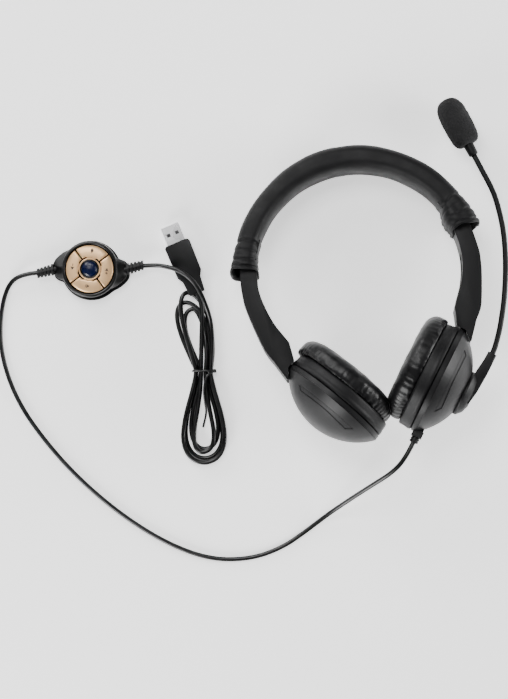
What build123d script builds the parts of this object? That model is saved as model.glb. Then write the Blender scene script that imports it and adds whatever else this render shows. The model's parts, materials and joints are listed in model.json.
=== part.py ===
"""Office headset with a padded headband, a boom microphone, an in-line remote and a USB plug.

Millimetres, +Z up. The headset lies on a table: +Y runs from the ear cups to the crown of the
headband and +X to the side of the microphone. The origin is under the middle of the headset.

Three working frames are used and then placed in that frame:
- the band frame: X across the head, Y towards the crown, Z along the headband's width, with its
  origin at the centre of the headband's arc;
- a cup frame: Z along the cup's axis towards the ear, Y up towards the arm;
- the remote's and the plug's own frames, flat on the table.
Left-hand pieces are mirror images of right-hand ones.
"""

from build123d import *
import math
import os

# Placement of the headset
LYING_TILT = 7.63  # the crown lies lower than the cups' middles, degrees
BAND_X, BAND_Y, BAND_Z = -8.425, 8.198, 25.505

# Headband
SLEEVE_OUT_R, SLEEVE_IN_R, SLEEVE_HALF_W = 81.4, 65.5, 15.5
SLEEVE_WALL, SLEEVE_CORNER = 1.2, 5.5
CUFF_ANGLE, CUFF_SPAN, CUFF_FLARE = 11.0, 18.0, 0.9
STRIP_R, STRIP_T, STRIP_HALF_W = 72.0, 1.2, 7.0
FOAM_FULL_ANGLE, FOAM_SKIRT_ANGLE, FOAM_SKIRT_T = 48.0, 20.0, 2.6
STOP_T, STOP_ANGLE = 3.2, 1.6

# Arms
ARM_HALF_W = 10.8
ARM_TOP_ANGLE, ARM_STEP_ANGLE = 30.0, 13.5
ARM_OUT_R, ARM_IN_R, ARM_TOP_IN_R = 75.9, 66.15, 67.1
SLIDE_ANGLE = 15.5
SLOT_GAP = 0.3
COVER_T, COVER_HALF_W = 1.6, 8.0
SHOE_ANGLES = (13.0, 18.0)

# Ear cups
CUP_U, CUP_V, CUP_LEAN = 32.3, -76.0, 38.3
RIM_R, RIM_H, SEAM_HALF = 35.75, 3.2, 0.4
DOME_R, DOME_CENTRE_Z, SHELL_WALL = 43.8, 21.8, 1.8
BAFFLE_TOP_Z, BAFFLE_TOP_R, BAFFLE_PLATE_T = 8.8, 31.5, 2.0
DRIVER_R, MAGNET_R = 20.0, 10.0
PAD_BACK_Z, PAD_FACE_Z, PAD_HOLE_R = 9.45, 19.3, 14.5
INLAY_GROOVE, INLAY_SINK = 1.0, 0.35
RELIEF_REACH, RELIEF_Z = 42.5, -5.4
SCREW_RING_R, SCREW_ANGLES = 27.0, (35, 145, 215, 325)

# Cup hinge
PIVOT_Y, PIVOT_Z = 29.5, -4.2
PIN_R, PIN_GAP, PIN_HALF, EYE_R = 1.0, 0.05, 8.0, 2.6
STEM_LEAN, STEM_R, STEM_GAP, STEM_HEAD_R = 24.0, 2.2, 0.05, 3.4
STEM_START, STEM_END, STEM_TOP = 5.4, 18.0, 20.5
ARM_CUP_GAP = 1.25

# Microphone boom
HUB_R, HUB_SEAT_Z, HUB_FACE_Z = 14.7, -19.5, -26.3
SPIGOT_R, SPIGOT_GAP = 4.0, 0.05
LEVER_END_Y = 30.5
NECK_R = 1.6
FOAM_R, FOAM_LENGTH = 9.0, 33.0
NECK_ROUTE = [
    (68.3, -71.9),
    (73.5, -65.3),
    (79.6, -53.6),
    (86.6, -35.5),
    (92.8, -13.0),
    (96.3, 10.0),
    (95.6, 33.0),
    (91.0, 50.0),
    (88.2, 60.3),
]

# In-line remote
REMOTE_X, REMOTE_Y, REMOTE_TURN = -177.6, 48.0, -8.2
REMOTE_R, REMOTE_SPLIT_Z, REMOTE_RIM_Z, LOBE_TOP_Z = 18.0, 6.5, 12.2, 9.9
LOBE_TIP_X, LOBE_TIP_HALF, LOBE_ROOT_HALF = 24.0, 4.5, 10.5
KEY_OUT_R, KEY_IN_R, KEY_GAP = 15.7, 7.6, 0.6
KEY_TURN, KEY_PLUNGER_R = -12.5, 11.3
KEY_NAMES = ("microphone_key", "volume_up_key", "speaker_key", "volume_down_key")
BOOT_AXIS_Z, BOOT_END_X, BOOT_RIBS = 6.2, 33.6, 5
LENS_R, LENS_TOP_Z, LENS_BALL_R = 5.2, 14.4, 8.8

# Lead and plug
CORD_R = 1.5
LEAD_TO_REMOTE = [
    (-15.1, -119.6, 38.6),
    (-30.3, -125.9, 28.0),
    (-45.4, -132.8, 14.0),
    (-59.9, -139.4, 5.0),
    (-75.8, -147.3, 1.8),
    (-93.3, -154.7, 1.6),
    (-114.8, -157.7, 1.6),
    (-140.3, -152.7, 1.6),
    (-165.8, -136.9, 1.6),
    (-191.3, -112.2, 1.6),
    (-213.3, -83.7, 1.6),
    (-230.3, -54.2, 1.6),
    (-242.3, -25.2, 1.6),
    (-246.3, 4.5, 1.6),
    (-242.0, 29.5, 1.9),
    (-232.9, 49.1, 3.4),
    (-221.9, 54.4, 6.2),
    (-210.9, 52.8, 6.2),
]
LEAD_TO_HANK = [
    (-144.3, 43.2, 6.2),
    (-135.2, 41.9, 6.2),
    (-127.2, 38.6, 9.6),
    (-120.0, 34.2, 12.8),
    (-114.0, 27.1, 12.8),
    (-110.7, 18.2, 12.4),
    (-109.0, 9.1, 10.6),
    (-108.2, 0.5, 6.8),
    (-108.92, -7.82, 4.6),
    (-110.58, -15.65, 4.6),
]
FIRST_RUN, PLUG_LEAD = 11.5, 7.5
TIE_X, TIE_Y, HANK_TURN = -119.7, -31.6, -12.0
HANK_H, HANK_WAIST_HALF = 8.0, 6.6
PLUG_X, PLUG_Y, PLUG_Z, PLUG_TURN = -119.4, 53.3, 4.3, 100.5
SHELL_W, SHELL_H, SHELL_OUT, SHELL_IN, SHELL_T = 12.0, 4.5, 12.0, 4.5, 0.3
OVERMOLD_W, OVERMOLD_H, OVERMOLD_MAIN, OVERMOLD_LENGTH = 17.0, 8.6, 22.0, 35.5

BAND_TO_TABLE = Location((BAND_X, BAND_Y, BAND_Z), (-LYING_TILT, 0, 0))
LEAN_SIN = math.sin(math.radians(CUP_LEAN))
LEAN_COS = math.cos(math.radians(CUP_LEAN))
CUP_TO_BAND = Location(Plane(origin=(CUP_U, CUP_V, 0), x_dir=(0, 0, 1), z_dir=(-LEAN_COS, LEAN_SIN, 0)))
REMOTE_TO_TABLE = Location((REMOTE_X, REMOTE_Y, 0), (0, 0, REMOTE_TURN))
PLUG_TO_TABLE = Location((PLUG_X, PLUG_Y, PLUG_Z), (0, 0, PLUG_TURN))
HANK_TO_TABLE = Location((TIE_X, TIE_Y, 0), (0, 0, HANK_TURN))


# General helpers


def turned(outline, sweep=360.0):
    """A solid turned about Z from a closed outline of (radius, height) points."""
    return revolve(Plane.XZ * make_face(Polyline(*outline, close=True)), Axis.Z, sweep)


def turned_edges(edges):
    """A solid turned about Z from edges drawn in (radius, height)."""
    return revolve(Plane.XZ * make_face(edges), Axis.Z)


def rod(radius, low, high):
    """A round bar along Z from low to high."""
    return Pos(0, 0, low) * Cylinder(radius, high - low, align=(Align.CENTER, Align.CENTER, Align.MIN))


def tube(outer, inner, low, high):
    """A straight tube along Z from low to high."""
    return rod(outer, low, high) - rod(inner, low - 1, high + 1)


def block(x, y, z):
    """A box given by its low and high limits along each axis."""
    centre = [(a + b) / 2 for a, b in (x, y, z)]
    return Pos(*centre) * Box(x[1] - x[0], y[1] - y[0], z[1] - z[0])


def prism(outline, low, high):
    """A straight prism over a polygon drawn in XY, from low to high."""
    return Pos(0, 0, low) * extrude(make_face(Polyline(*outline, close=True)), high - low)


def sector(inner, outer, half_width, start, end):
    """A block bent about the band's centre, between two radii and two angles, straight in Z."""
    ring = tube(outer, inner, -half_width, half_width)
    reach = 2 * outer
    wedge = [(0, 0)]
    steps = 4
    for i in range(steps + 1):
        angle = math.radians(start + (end - start) * i / steps)
        wedge.append((reach * math.cos(angle), reach * math.sin(angle)))
    return ring & prism(wedge, -half_width, half_width)


def polar(radius, angle):
    """The point at a radius and an angle in degrees."""
    return (radius * math.cos(math.radians(angle)), radius * math.sin(math.radians(angle)))


def mirrored(part):
    """The other side's copy of a piece in the band frame."""
    return mirror(part, about=Plane.YZ)


def arc_radii(points):
    """The fillet radii of a route: 0.45 of the shorter run over the tangent of half the turn."""
    radii = []
    for before, here, after in zip(points, points[1:], points[2:]):
        run_in = Vector(*here) - Vector(*before)
        run_out = Vector(*after) - Vector(*here)
        half_turn = math.radians(run_in.get_angle(run_out)) / 2
        radii.append(0.45 * min(run_in.length, run_out.length) / math.tan(half_turn))
    return radii


def cord_tube(name, points, radius):
    """A round cord along straight runs joined by arcs, with its radii and volume printed."""
    if len(points) > 2:
        radii = arc_radii(points)
        path = FilletPolyline(*points, radius=radii)
    else:
        radii = []
        path = Line(*points)
    start = Plane(origin=path @ 0, z_dir=path % 0)
    cord = sweep(start * Circle(radius), path=path)
    expected = math.pi * radius**2 * path.length
    print(name, "length", round(path.length, 1), "radii", [round(r, 1) for r in radii])
    print(name, "volume over section times length", round(cord.volume / expected, 4))
    return cord


# Headband


def sleeve_section(shrink):
    """The padded headband's rounded section, drawn in (radius, width), made smaller all round by shrink."""
    thick = SLEEVE_OUT_R - SLEEVE_IN_R - 2 * shrink
    wide = 2 * (SLEEVE_HALF_W - shrink)
    middle = (SLEEVE_OUT_R + SLEEVE_IN_R) / 2
    return Plane.XZ * Pos(middle, 0) * RectangleRounded(thick, wide, SLEEVE_CORNER - shrink)


def band_turn(section, start, end):
    """A section turned about the band's centre between two angles."""
    return Rot(0, 0, start) * revolve(section, Axis.Z, end - start)


def headband():
    """The parts of the padded headband, in the band frame."""
    cuff_end = CUFF_ANGLE + CUFF_SPAN
    cuff = band_turn(sleeve_section(-CUFF_FLARE), CUFF_ANGLE, cuff_end)
    cuff -= band_turn(sleeve_section(SLEEVE_WALL - CUFF_FLARE), CUFF_ANGLE - 1, cuff_end + 1)
    sleeve = band_turn(sleeve_section(0), cuff_end, 180 - cuff_end)
    sleeve -= band_turn(sleeve_section(SLEEVE_WALL), cuff_end - 1, 181 - cuff_end)
    sleeve = sleeve + cuff + mirrored(cuff)
    foam_angles = (FOAM_FULL_ANGLE, 180 - FOAM_FULL_ANGLE)
    foam = band_turn(sleeve_section(SLEEVE_WALL), *foam_angles)
    skirt_angles = (FOAM_SKIRT_ANGLE, 180 - FOAM_SKIRT_ANGLE)
    skirt = band_turn(sleeve_section(SLEEVE_WALL), *skirt_angles)
    skirt_in_r = SLEEVE_OUT_R - SLEEVE_WALL - FOAM_SKIRT_T
    skirt -= rod(skirt_in_r, -SLEEVE_HALF_W, SLEEVE_HALF_W)
    strip_in, strip_out = STRIP_R - STRIP_T / 2, STRIP_R + STRIP_T / 2
    strip = sector(strip_in, strip_out, STRIP_HALF_W, 0, 90)
    strip += mirrored(strip)
    strip_slot = tube(strip_out + 0.05, strip_in - 0.05, -STRIP_HALF_W - 0.05, STRIP_HALF_W + 0.05)
    foam = foam + skirt - strip_slot
    stop = sector(STRIP_R - STOP_T / 2, STRIP_R + STOP_T / 2, STRIP_HALF_W, 0, STOP_ANGLE)
    strip = strip + stop + mirrored(stop)
    return {
        "headband_sleeve": [sleeve],
        "headband_foam": [foam],
        "headband_spring": [strip],
    }


# Arms


def arm_block():
    """The outer form of the right arm: a curved bar that widens to a shoulder and ends at the cup."""
    top_out = polar(ARM_OUT_R, ARM_TOP_ANGLE)
    mid_out = polar(ARM_OUT_R, 14)
    low_out = polar(ARM_OUT_R, -3)
    top_in = polar(ARM_TOP_IN_R, ARM_TOP_ANGLE)
    upper_in = polar(ARM_TOP_IN_R, 22)
    step_top = polar(ARM_TOP_IN_R, ARM_STEP_ANGLE)
    step_low = polar(ARM_IN_R, ARM_STEP_ANGLE - 1)
    mid_in = polar(ARM_IN_R, 5)
    low_in = polar(ARM_IN_R, -3)
    shoulder = (53.9, -35.4)
    neck = (53.0, -46.5)
    heel = (52.0, -58.0)
    tip = (59.6, -57.9)
    outer_bend = (71.9, -24.2)
    outer_end = (65.0, -44.9)
    inner_bend = (62.9, -16.8)
    inner_end = (57.9, -26.8)
    edges = [
        Line(top_in, top_out),
        ThreePointArc(top_out, mid_out, low_out),
        ThreePointArc(low_out, outer_bend, outer_end),
        Line(outer_end, tip),
        Line(tip, heel),
        Line(heel, neck),
        Line(neck, shoulder),
        Line(shoulder, inner_end),
        ThreePointArc(inner_end, inner_bend, low_in),
        ThreePointArc(low_in, mid_in, step_low),
        Line(step_low, step_top),
        ThreePointArc(step_top, upper_in, top_in),
    ]
    return extrude(make_face(edges), ARM_HALF_W, both=True)


def cup_envelope(margin):
    """The cup's outer form with a margin all round, in the band frame."""
    dome = Pos(0, 0, DOME_CENTRE_Z) * Sphere(DOME_R + margin)
    dome &= rod(RIM_R + margin, -60, BAFFLE_TOP_Z)
    pad = rod(34.0 + margin, BAFFLE_TOP_Z - 1, PAD_FACE_Z + 4)
    return CUP_TO_BAND * (dome + pad)


def stem_place():
    """The frame of the swivel stem: Z up the stem from the cup's hinge pin."""
    pivot = CUP_TO_BAND * Pos(0, PIVOT_Y, PIVOT_Z)
    lean = math.radians(STEM_LEAN)
    up = (math.sin(lean), math.cos(lean), 0)
    return Location(Plane(origin=pivot.position, x_dir=(0, 0, 1), z_dir=up))


def right_arm():
    """The right arm, its inner cover and its friction shoe."""
    body = arm_block()
    strip_in, strip_out = STRIP_R - STRIP_T / 2 - SLOT_GAP, STRIP_R + STRIP_T / 2 + SLOT_GAP
    slot_half = STRIP_HALF_W + SLOT_GAP
    slot = sector(strip_in, strip_out, slot_half, -SLIDE_ANGLE - 1.5, ARM_TOP_ANGLE + 1)
    stop_room = STOP_T / 2 + 0.4
    room = sector(STRIP_R - stop_room, STRIP_R + stop_room, slot_half, -SLIDE_ANGLE - 1.5, STOP_ANGLE + 0.4)
    shoe = sector(strip_out - SLOT_GAP + 0.05, strip_out + 1.6, 5, *SHOE_ANGLES)
    shoe_room = sector(strip_out - 0.1, strip_out + 1.65, 5.1, SHOE_ANGLES[0] - 0.1, SHOE_ANGLES[1] + 0.1)
    cover_box = block((40, 80), (-32, -2), (-COVER_HALF_W, COVER_HALF_W))
    cover = (body - Pos(COVER_T, 0, 0) * body) & cover_box
    seat_box = block((40, 80), (-32.1, -1.9), (-COVER_HALF_W - 0.1, COVER_HALF_W + 0.1))
    seat = (body - Pos(COVER_T + 0.05, 0, 0) * body) & seat_box
    stem_room = rod(STEM_R + STEM_GAP, 0, STEM_END + 0.1)
    stem_room += rod(STEM_HEAD_R + 0.3, STEM_END, STEM_TOP + 0.5)
    body = body - cup_envelope(ARM_CUP_GAP) - slot - room - shoe_room - seat - stem_place() * stem_room
    return {"arm": [body], "arm_cover": [cover], "friction_shoe": [shoe]}


def hinge_knuckle():
    """The knuckle between the cup's hinge pin and the arm's swivel bore, in the stem's frame."""
    eye = Rot(0, 90, 0) * rod(EYE_R, -5.0, 5.0)
    neck = block((-3.2, 3.2), (-1.9, 1.9), (0, STEM_START))
    stem = rod(STEM_R, STEM_START - 1, STEM_END + 0.2)
    head = turned([(0, STEM_END + 0.2), (STEM_HEAD_R, STEM_END + 0.2), (STEM_R, STEM_TOP), (0, STEM_TOP)])
    slit = block((-0.4, 0.4), (-5, 5), (STEM_END - 4, STEM_TOP + 1))
    bore = Rot(0, 90, 0) * rod(PIN_R + PIN_GAP, -8, 8)
    return eye + neck + stem + head - slit - bore


# Ear cups, each drawn in the cup frame


def dome_ball(inset):
    """The ball that the shell's dome is part of, made smaller by inset."""
    return Pos(0, 0, DOME_CENTRE_Z) * Sphere(DOME_R - inset)


def inlay_prism(shrink):
    """The prism that cuts the leaf-shaped inlay out of the dome's side."""
    outline = [
        (22.2 - 2 * shrink, -8.9 - shrink),
        (19.4 - shrink, -11.4 + shrink),
        (0, -11.3 + shrink),
        (-17.6, -12.2 + shrink),
        (-21.8 + 1.4 * shrink, -8.9 - shrink),
    ]
    face = Plane.YZ * make_face(Polyline(*outline, close=True))
    front = Pos(12, 0, 0) * extrude(face, 30)
    return front + mirror(front, about=Plane.YZ)


def screw_places():
    """Where the cup's screws stand, as locations in the cup frame."""
    return [Pos(*polar(SCREW_RING_R, angle), 0) for angle in SCREW_ANGLES]


def hinge_lugs():
    """The two lugs in the shell that hold the hinge pin."""
    lug = block((5.3, 8.2), (25.5, RIM_R - 0.5), (-8.0, -1.0))
    lugs = lug + mirror(lug, about=Plane.YZ)
    return lugs - Pos(0, PIVOT_Y, PIVOT_Z) * Rot(0, 90, 0) * rod(PIN_R + 0.02, -10, 10)


def cup_shell(with_boom):
    """The cup's outer shell: a rim band with a bead line under a domed back."""
    rim = rod(RIM_R, -RIM_H, -SEAM_HALF) + rod(RIM_R - 0.5, -RIM_H - 0.6, -RIM_H)
    dome = dome_ball(0) & rod(RIM_R, -60, -RIM_H - 0.6)
    inner = dome_ball(SHELL_WALL) & rod(RIM_R - 2.0, -60, 0)
    outer = rim + dome
    if with_boom:
        outer &= rod(RIM_R + 1, HUB_SEAT_Z, 1)
        inner &= rod(RIM_R, HUB_SEAT_Z + SHELL_WALL, 1)
    bosses = screw_places()[0] * rod(2.6, -40, -SEAM_HALF)
    for place in screw_places()[1:]:
        bosses += place * rod(2.6, -40, -SEAM_HALF)
    shell = outer - inner + (bosses & inner) + (hinge_lugs() & outer)
    for place in screw_places():
        shell -= place * rod(1.12, -9, 0)
    shell -= inlay_prism(0) - dome_ball(INLAY_GROOVE)
    shell -= block((-3.7, 3.7), (PIVOT_Y, RIM_R + 1), (-6.8, 0))
    shell -= Pos(0, PIVOT_Y, PIVOT_Z) * Rot(0, 90, 0) * rod(EYE_R + 0.4, -5.2, 5.2)
    return shell


def trim_inlay():
    """The satin inlays set in the two leaf-shaped recesses."""
    pair = inlay_prism(0.15) & dome_ball(INLAY_SINK)
    return list((pair - dome_ball(INLAY_GROOVE)).solids())


def baffle():
    """The tapered ring and plate that close the cup on the ear side and carry the driver."""
    top = SEAM_HALF + BAFFLE_PLATE_T
    outline = [
        (DRIVER_R + 0.3, SEAM_HALF),
        (RIM_R - 0.1, SEAM_HALF),
        (RIM_R - 0.4, SEAM_HALF + 2.0),
        (BAFFLE_TOP_R, BAFFLE_TOP_Z),
        (BAFFLE_TOP_R - 2.0, BAFFLE_TOP_Z),
        (BAFFLE_TOP_R - 2.0, top),
        (DRIVER_R + 0.3, top),
    ]
    body = turned(outline)
    for place in screw_places():
        body -= place * rod(1.4, 0, top + 1)
    return body


def cup_screws():
    """The screws that hold the baffle to the shell."""
    top = SEAM_HALF + BAFFLE_PLATE_T
    screws = []
    for place in screw_places():
        screws.append(place * (rod(1.1, -8, top) + rod(2.2, top, top + 1.4)))
    return screws


def driver():
    """The loudspeaker: a frame, its magnet and its diaphragm."""
    top = SEAM_HALF + BAFFLE_PLATE_T
    frame = turned(
        [
            (DRIVER_R - 2.0, top + 1.2),
            (DRIVER_R + 2.2, top + 1.2),
            (DRIVER_R + 2.2, top),
            (DRIVER_R, top),
            (DRIVER_R, -1.5),
            (DRIVER_R - 4.0, -4.2),
            (MAGNET_R - 2.5, -4.2),
            (MAGNET_R - 2.5, -3.0),
            (DRIVER_R - 4.6, -3.0),
            (DRIVER_R - 2.0, -0.8),
        ]
    )
    magnet = rod(MAGNET_R, -9.0, -4.2)
    cone = turned(
        [
            (0, 1.3),
            (5.0, 0.9),
            (7.0, -0.6),
            (DRIVER_R - 3.5, 2.2),
            (DRIVER_R - 2.0, 2.2),
            (DRIVER_R - 2.0, 2.6),
            (DRIVER_R - 3.7, 2.6),
            (7.0, -0.1),
            (5.2, 1.4),
            (0, 1.8),
        ]
    )
    return {"driver_frame": [frame], "driver_magnet": [magnet], "driver_diaphragm": [cone]}


def ear_pad():
    """The round cushion, with a hollow middle for the ear."""
    edges = [
        Line((PAD_HOLE_R, PAD_BACK_Z), (29.3, PAD_BACK_Z)),
        Line((29.3, PAD_BACK_Z), (29.3, BAFFLE_TOP_Z)),
        Line((29.3, BAFFLE_TOP_Z), (32.0, BAFFLE_TOP_Z)),
        ThreePointArc((32.0, BAFFLE_TOP_Z), (33.0, 11.0), (32.7, 13.5)),
        ThreePointArc((32.7, 13.5), (29.2, 17.35), (22.5, PAD_FACE_Z)),
        ThreePointArc((22.5, PAD_FACE_Z), (16.9, 17.2), (PAD_HOLE_R, 12.4)),
        Line((PAD_HOLE_R, 12.4), (PAD_HOLE_R, PAD_BACK_Z)),
    ]
    return turned_edges(edges)


def cup(with_boom):
    """One ear cup's pieces, in the cup frame."""
    pieces = {
        "cup_shell": [cup_shell(with_boom)],
        "trim_inlay": trim_inlay(),
        "baffle": [baffle()],
        "cup_screws": cup_screws(),
        "hinge_pin": [Pos(0, PIVOT_Y, PIVOT_Z) * Rot(0, 90, 0) * rod(PIN_R, -PIN_HALF, PIN_HALF)],
        "ear_pad": [ear_pad()],
        "pad_screen": [rod(BAFFLE_TOP_R - 2.3, 8.0, PAD_BACK_Z - 0.05)],
    }
    pieces.update(driver())
    return pieces


def cable_relief():
    """The strain relief at the bottom of the right cup: a block in the rim and a short ribbed boot."""
    collar = block((-4.2, 4.2), (-38.6, -34.4), (-8.9, -1.9))
    flange = block((-3.4, 3.4), (-34.4, -32.4), (-8.2, -2.6))
    boot = rod(2.5, 38.6, RELIEF_REACH) + rod(2.9, 39.6, 40.4) + rod(2.9, 41.2, 42.0)
    return collar + flange + Pos(0, 0, RELIEF_Z) * Rot(90, 0, 0) * boot


# Microphone boom, drawn in the cup frame


def boom_hub():
    """The turning hub on the right cup, which grows into the lever that holds the gooseneck."""
    low_face = HUB_SEAT_Z - 0.2
    disc = turned(
        [
            (0, low_face),
            (HUB_R, low_face),
            (HUB_R, -21.4),
            (HUB_R - 3.2, -24.6),
            (HUB_R - 8.0, HUB_FACE_Z),
            (0, HUB_FACE_Z),
        ]
    )
    side = Plane.YZ * make_face(
        Polyline(
            (-6.0, -25.9),
            (4.4, -27.7),
            (17.0, -28.5),
            (LEVER_END_Y, -28.6),
            (LEVER_END_Y, -22.8),
            (24.5, -22.5),
            (15.0, -21.2),
            (8.0, -21.2),
            (-6.0, -22.0),
            close=True,
        )
    )
    plan = [(-8.5, -6.0), (8.5, -6.0), (8.0, 6.0), (4.2, 22.0), (3.4, LEVER_END_Y), (-3.4, LEVER_END_Y)]
    plan += [(-4.2, 22.0), (-8.0, 6.0)]
    lever = extrude(side, 10, both=True) & prism(plan, -40, 0)
    lever = fillet(lever.edges().filter_by(Axis.Y, tolerance=15).sort_by(Axis.Z)[:2], 1.2)
    spigot = rod(SPIGOT_R, low_face, HUB_SEAT_Z + SHELL_WALL + 1.6)
    groove = tube(SPIGOT_R + 1, SPIGOT_R - 0.8, HUB_SEAT_Z + SHELL_WALL + 0.2, HUB_SEAT_Z + SHELL_WALL + 1.2)
    hub = disc + lever + spigot - groove - rod(2.0, -24, 0)
    return hub - CUP_TO_BAND.inverse() * gooseneck()


def boom_clip():
    """The spring clip that holds the hub's spigot inside the shell."""
    low = HUB_SEAT_Z + SHELL_WALL + 0.25
    ring = tube(6.2, SPIGOT_R - 0.75, low, low + 0.8)
    return ring - block((-1.6, 1.6), (-8, 0), (low - 1, low + 2))


def gooseneck():
    """The bendable neck, with a slimmer tip, in the band frame."""
    points = [(u, v, 0) for u, v in NECK_ROUTE]
    return cord_tube("gooseneck", points, NECK_R)


def microphone():
    """The collar, the capsule and the foam windscreen at the neck's end, in the band frame."""
    tip = Vector(*NECK_ROUTE[-1], 0)
    along = (tip - Vector(*NECK_ROUTE[-2], 0)).normalized()
    place = Location(Plane(origin=tip, x_dir=(0, 0, 1), z_dir=along))
    collar = turned([(0, 0), (3.3, 0), (3.6, 0.8), (3.9, 8.0), (3.9, 12.0), (0, 12.0)])
    capsule = turned([(0, 12.0), (3.2, 12.0), (4.8, 13.0), (4.8, 19.0), (4.2, 20.0), (0, 20.0)])
    start = 5.4
    end = start + FOAM_LENGTH
    crown_r = 8.8
    crown_mid = crown_r * math.sin(math.radians(45))
    foam = turned_edges(
        [
            Line((0, start), (4.6, start)),
            ThreePointArc((4.6, start), (7.4, start + 2.2), (8.6, start + 6.0)),
            ThreePointArc((8.6, start + 6.0), (FOAM_R, start + 15.0), (crown_r, end - crown_r)),
            ThreePointArc((crown_r, end - crown_r), (crown_mid, end - crown_r + crown_mid), (0, end)),
            Line((0, end), (0, start)),
        ]
    )
    foam = foam - rod(3.95, 0, 12.05) - rod(4.85, 12.0, 20.2)
    return {
        "mic_collar": [place * collar],
        "mic_capsule": [place * capsule],
        "windscreen": [place * foam],
    }


# In-line remote, drawn flat with its long side along X


def remote_outline(grow):
    """The remote's plan: a disc with a tapering lobe on each side, grown by grow."""
    tip_x = LOBE_TIP_X + grow
    root_x = 11.0
    tip_half = LOBE_TIP_HALF + grow
    root_half = LOBE_ROOT_HALF + 3.6 + grow
    mid_half = 8.6 + grow
    lobes = [
        (tip_x, -tip_half),
        (tip_x, tip_half),
        (18.5, mid_half),
        (root_x, root_half),
        (-root_x, root_half),
        (-18.5, mid_half),
        (-tip_x, tip_half),
        (-tip_x, -tip_half),
        (-18.5, -mid_half),
        (-root_x, -root_half),
        (root_x, -root_half),
        (18.5, -mid_half),
    ]
    return make_face(Polyline(*lobes, close=True)) + Circle(REMOTE_R + grow)


def boot_holes(radius):
    """The bores at both ends of the remote for the boots."""
    return Pos(0, 0, BOOT_AXIS_Z) * Rot(0, 90, 0) * (rod(radius, 18.5, 30) + rod(radius, -30, -18.5))


def key_angles():
    """The directions that the four keys face, in the order of their names."""
    return [90 - 90 * index + KEY_TURN for index in range(len(KEY_NAMES))]


def remote_case():
    """The remote's top and bottom case halves."""
    screw_spots = [Pos(*polar(14.1, angle), 0) for angle in (45, 225)]
    bottom = extrude(remote_outline(0), REMOTE_SPLIT_Z)
    bottom -= rod(16.2, 1.6, REMOTE_SPLIT_Z + 1)
    top = Pos(0, 0, REMOTE_SPLIT_Z) * extrude(remote_outline(-0.3), LOBE_TOP_Z - REMOTE_SPLIT_Z)
    top += rod(REMOTE_R - 0.3, REMOTE_SPLIT_Z, REMOTE_RIM_Z)
    top -= rod(KEY_OUT_R + 0.3, 9.2, REMOTE_RIM_Z + 1)
    top -= rod(16.2, REMOTE_SPLIT_Z - 1, 8.0)
    top += tube(LENS_R + 0.75, LENS_R + 0.05, 9.2, 12.9)
    for place in screw_spots:
        bottom += place * rod(1.9, 1.0, REMOTE_SPLIT_Z)
        bottom -= place * (rod(0.9, -1, 10) + rod(1.7, -1, 1.4))
        top += place * rod(1.9, REMOTE_SPLIT_Z, 8.0)
        top -= place * rod(0.85, 0, 8.7)
    for angle in key_angles():
        top -= Pos(*polar(KEY_PLUNGER_R, angle), 0) * rod(1.9, 7, 10)
    top -= rod(LENS_R + 0.05, 7, 14)
    for hole in (boot_holes(2.75), boot_holes(3.25) & block((-22, 22), (-9, 9), (0, 12))):
        bottom -= hole
        top -= hole
    screws = [place * (rod(0.8, 1.4, 8.5) + rod(1.6, 0.5, 1.4)) for place in screw_spots]
    return {"remote_bottom": [bottom], "remote_top": [top], "remote_screws": screws}


def remote_key(angle):
    """One quarter key with its plunger, facing the given angle."""
    plate = turned(
        [
            (KEY_IN_R, 10.4),
            (KEY_OUT_R, 10.4),
            (KEY_OUT_R, 11.9),
            (KEY_OUT_R - 1.3, 12.7),
            (KEY_OUT_R - 4.0, 13.1),
            (KEY_IN_R, 13.1),
        ]
    )
    reach = 30
    half_gap = KEY_GAP / 2 * math.sqrt(2)
    quarter = prism([(half_gap, 0), (reach + half_gap, reach), (reach + half_gap, -reach)], 0, 20)
    key = (plate & quarter) + Pos(KEY_PLUNGER_R, 0, 0) * rod(1.5, 8.0, 10.5)
    return Rot(0, 0, angle) * key


def remote_inside():
    """The circuit board, its switches, the key ring's hub, the lamp lens and the two cable boots."""
    board = rod(12.0, 4.6, 5.8)
    switch = block((9.3, 11.7), (-1.5, 1.5), (5.8, 7.3))
    switches = [Rot(0, 0, angle) * switch for angle in key_angles()]
    hub = tube(KEY_IN_R - 0.4, LENS_R + 0.85, 9.2, 13.0)
    lens = turned([(0, 5.85), (3.2, 5.85), (LENS_R, 8.6), (LENS_R, 15), (0, 15)])
    lens &= Pos(0, 0, LENS_TOP_Z - LENS_BALL_R) * Sphere(LENS_BALL_R)
    boot = rod(3.2, 19.0, 21.9) + rod(2.1, 21.5, BOOT_END_X)
    pitch = (BOOT_END_X - LOBE_TIP_X) / BOOT_RIBS
    for i in range(BOOT_RIBS):
        low = LOBE_TIP_X + 0.4 + i * pitch
        boot += rod(2.75 - 0.07 * i, low, low + 0.62 * pitch)
    boot += rod(2.7, 21.5, LOBE_TIP_X + 0.5)
    right_boot = Pos(0, 0, BOOT_AXIS_Z) * Rot(0, 90, 0) * boot
    return {
        "remote_board": [board],
        "key_switches": switches,
        "key_hub": [hub],
        "status_lens": [lens],
        "remote_boot_out": [right_boot],
        "remote_boot_in": [Rot(0, 0, 180) * right_boot],
    }


# Plug, drawn with its tip along +X and its wide sides facing Z


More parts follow.
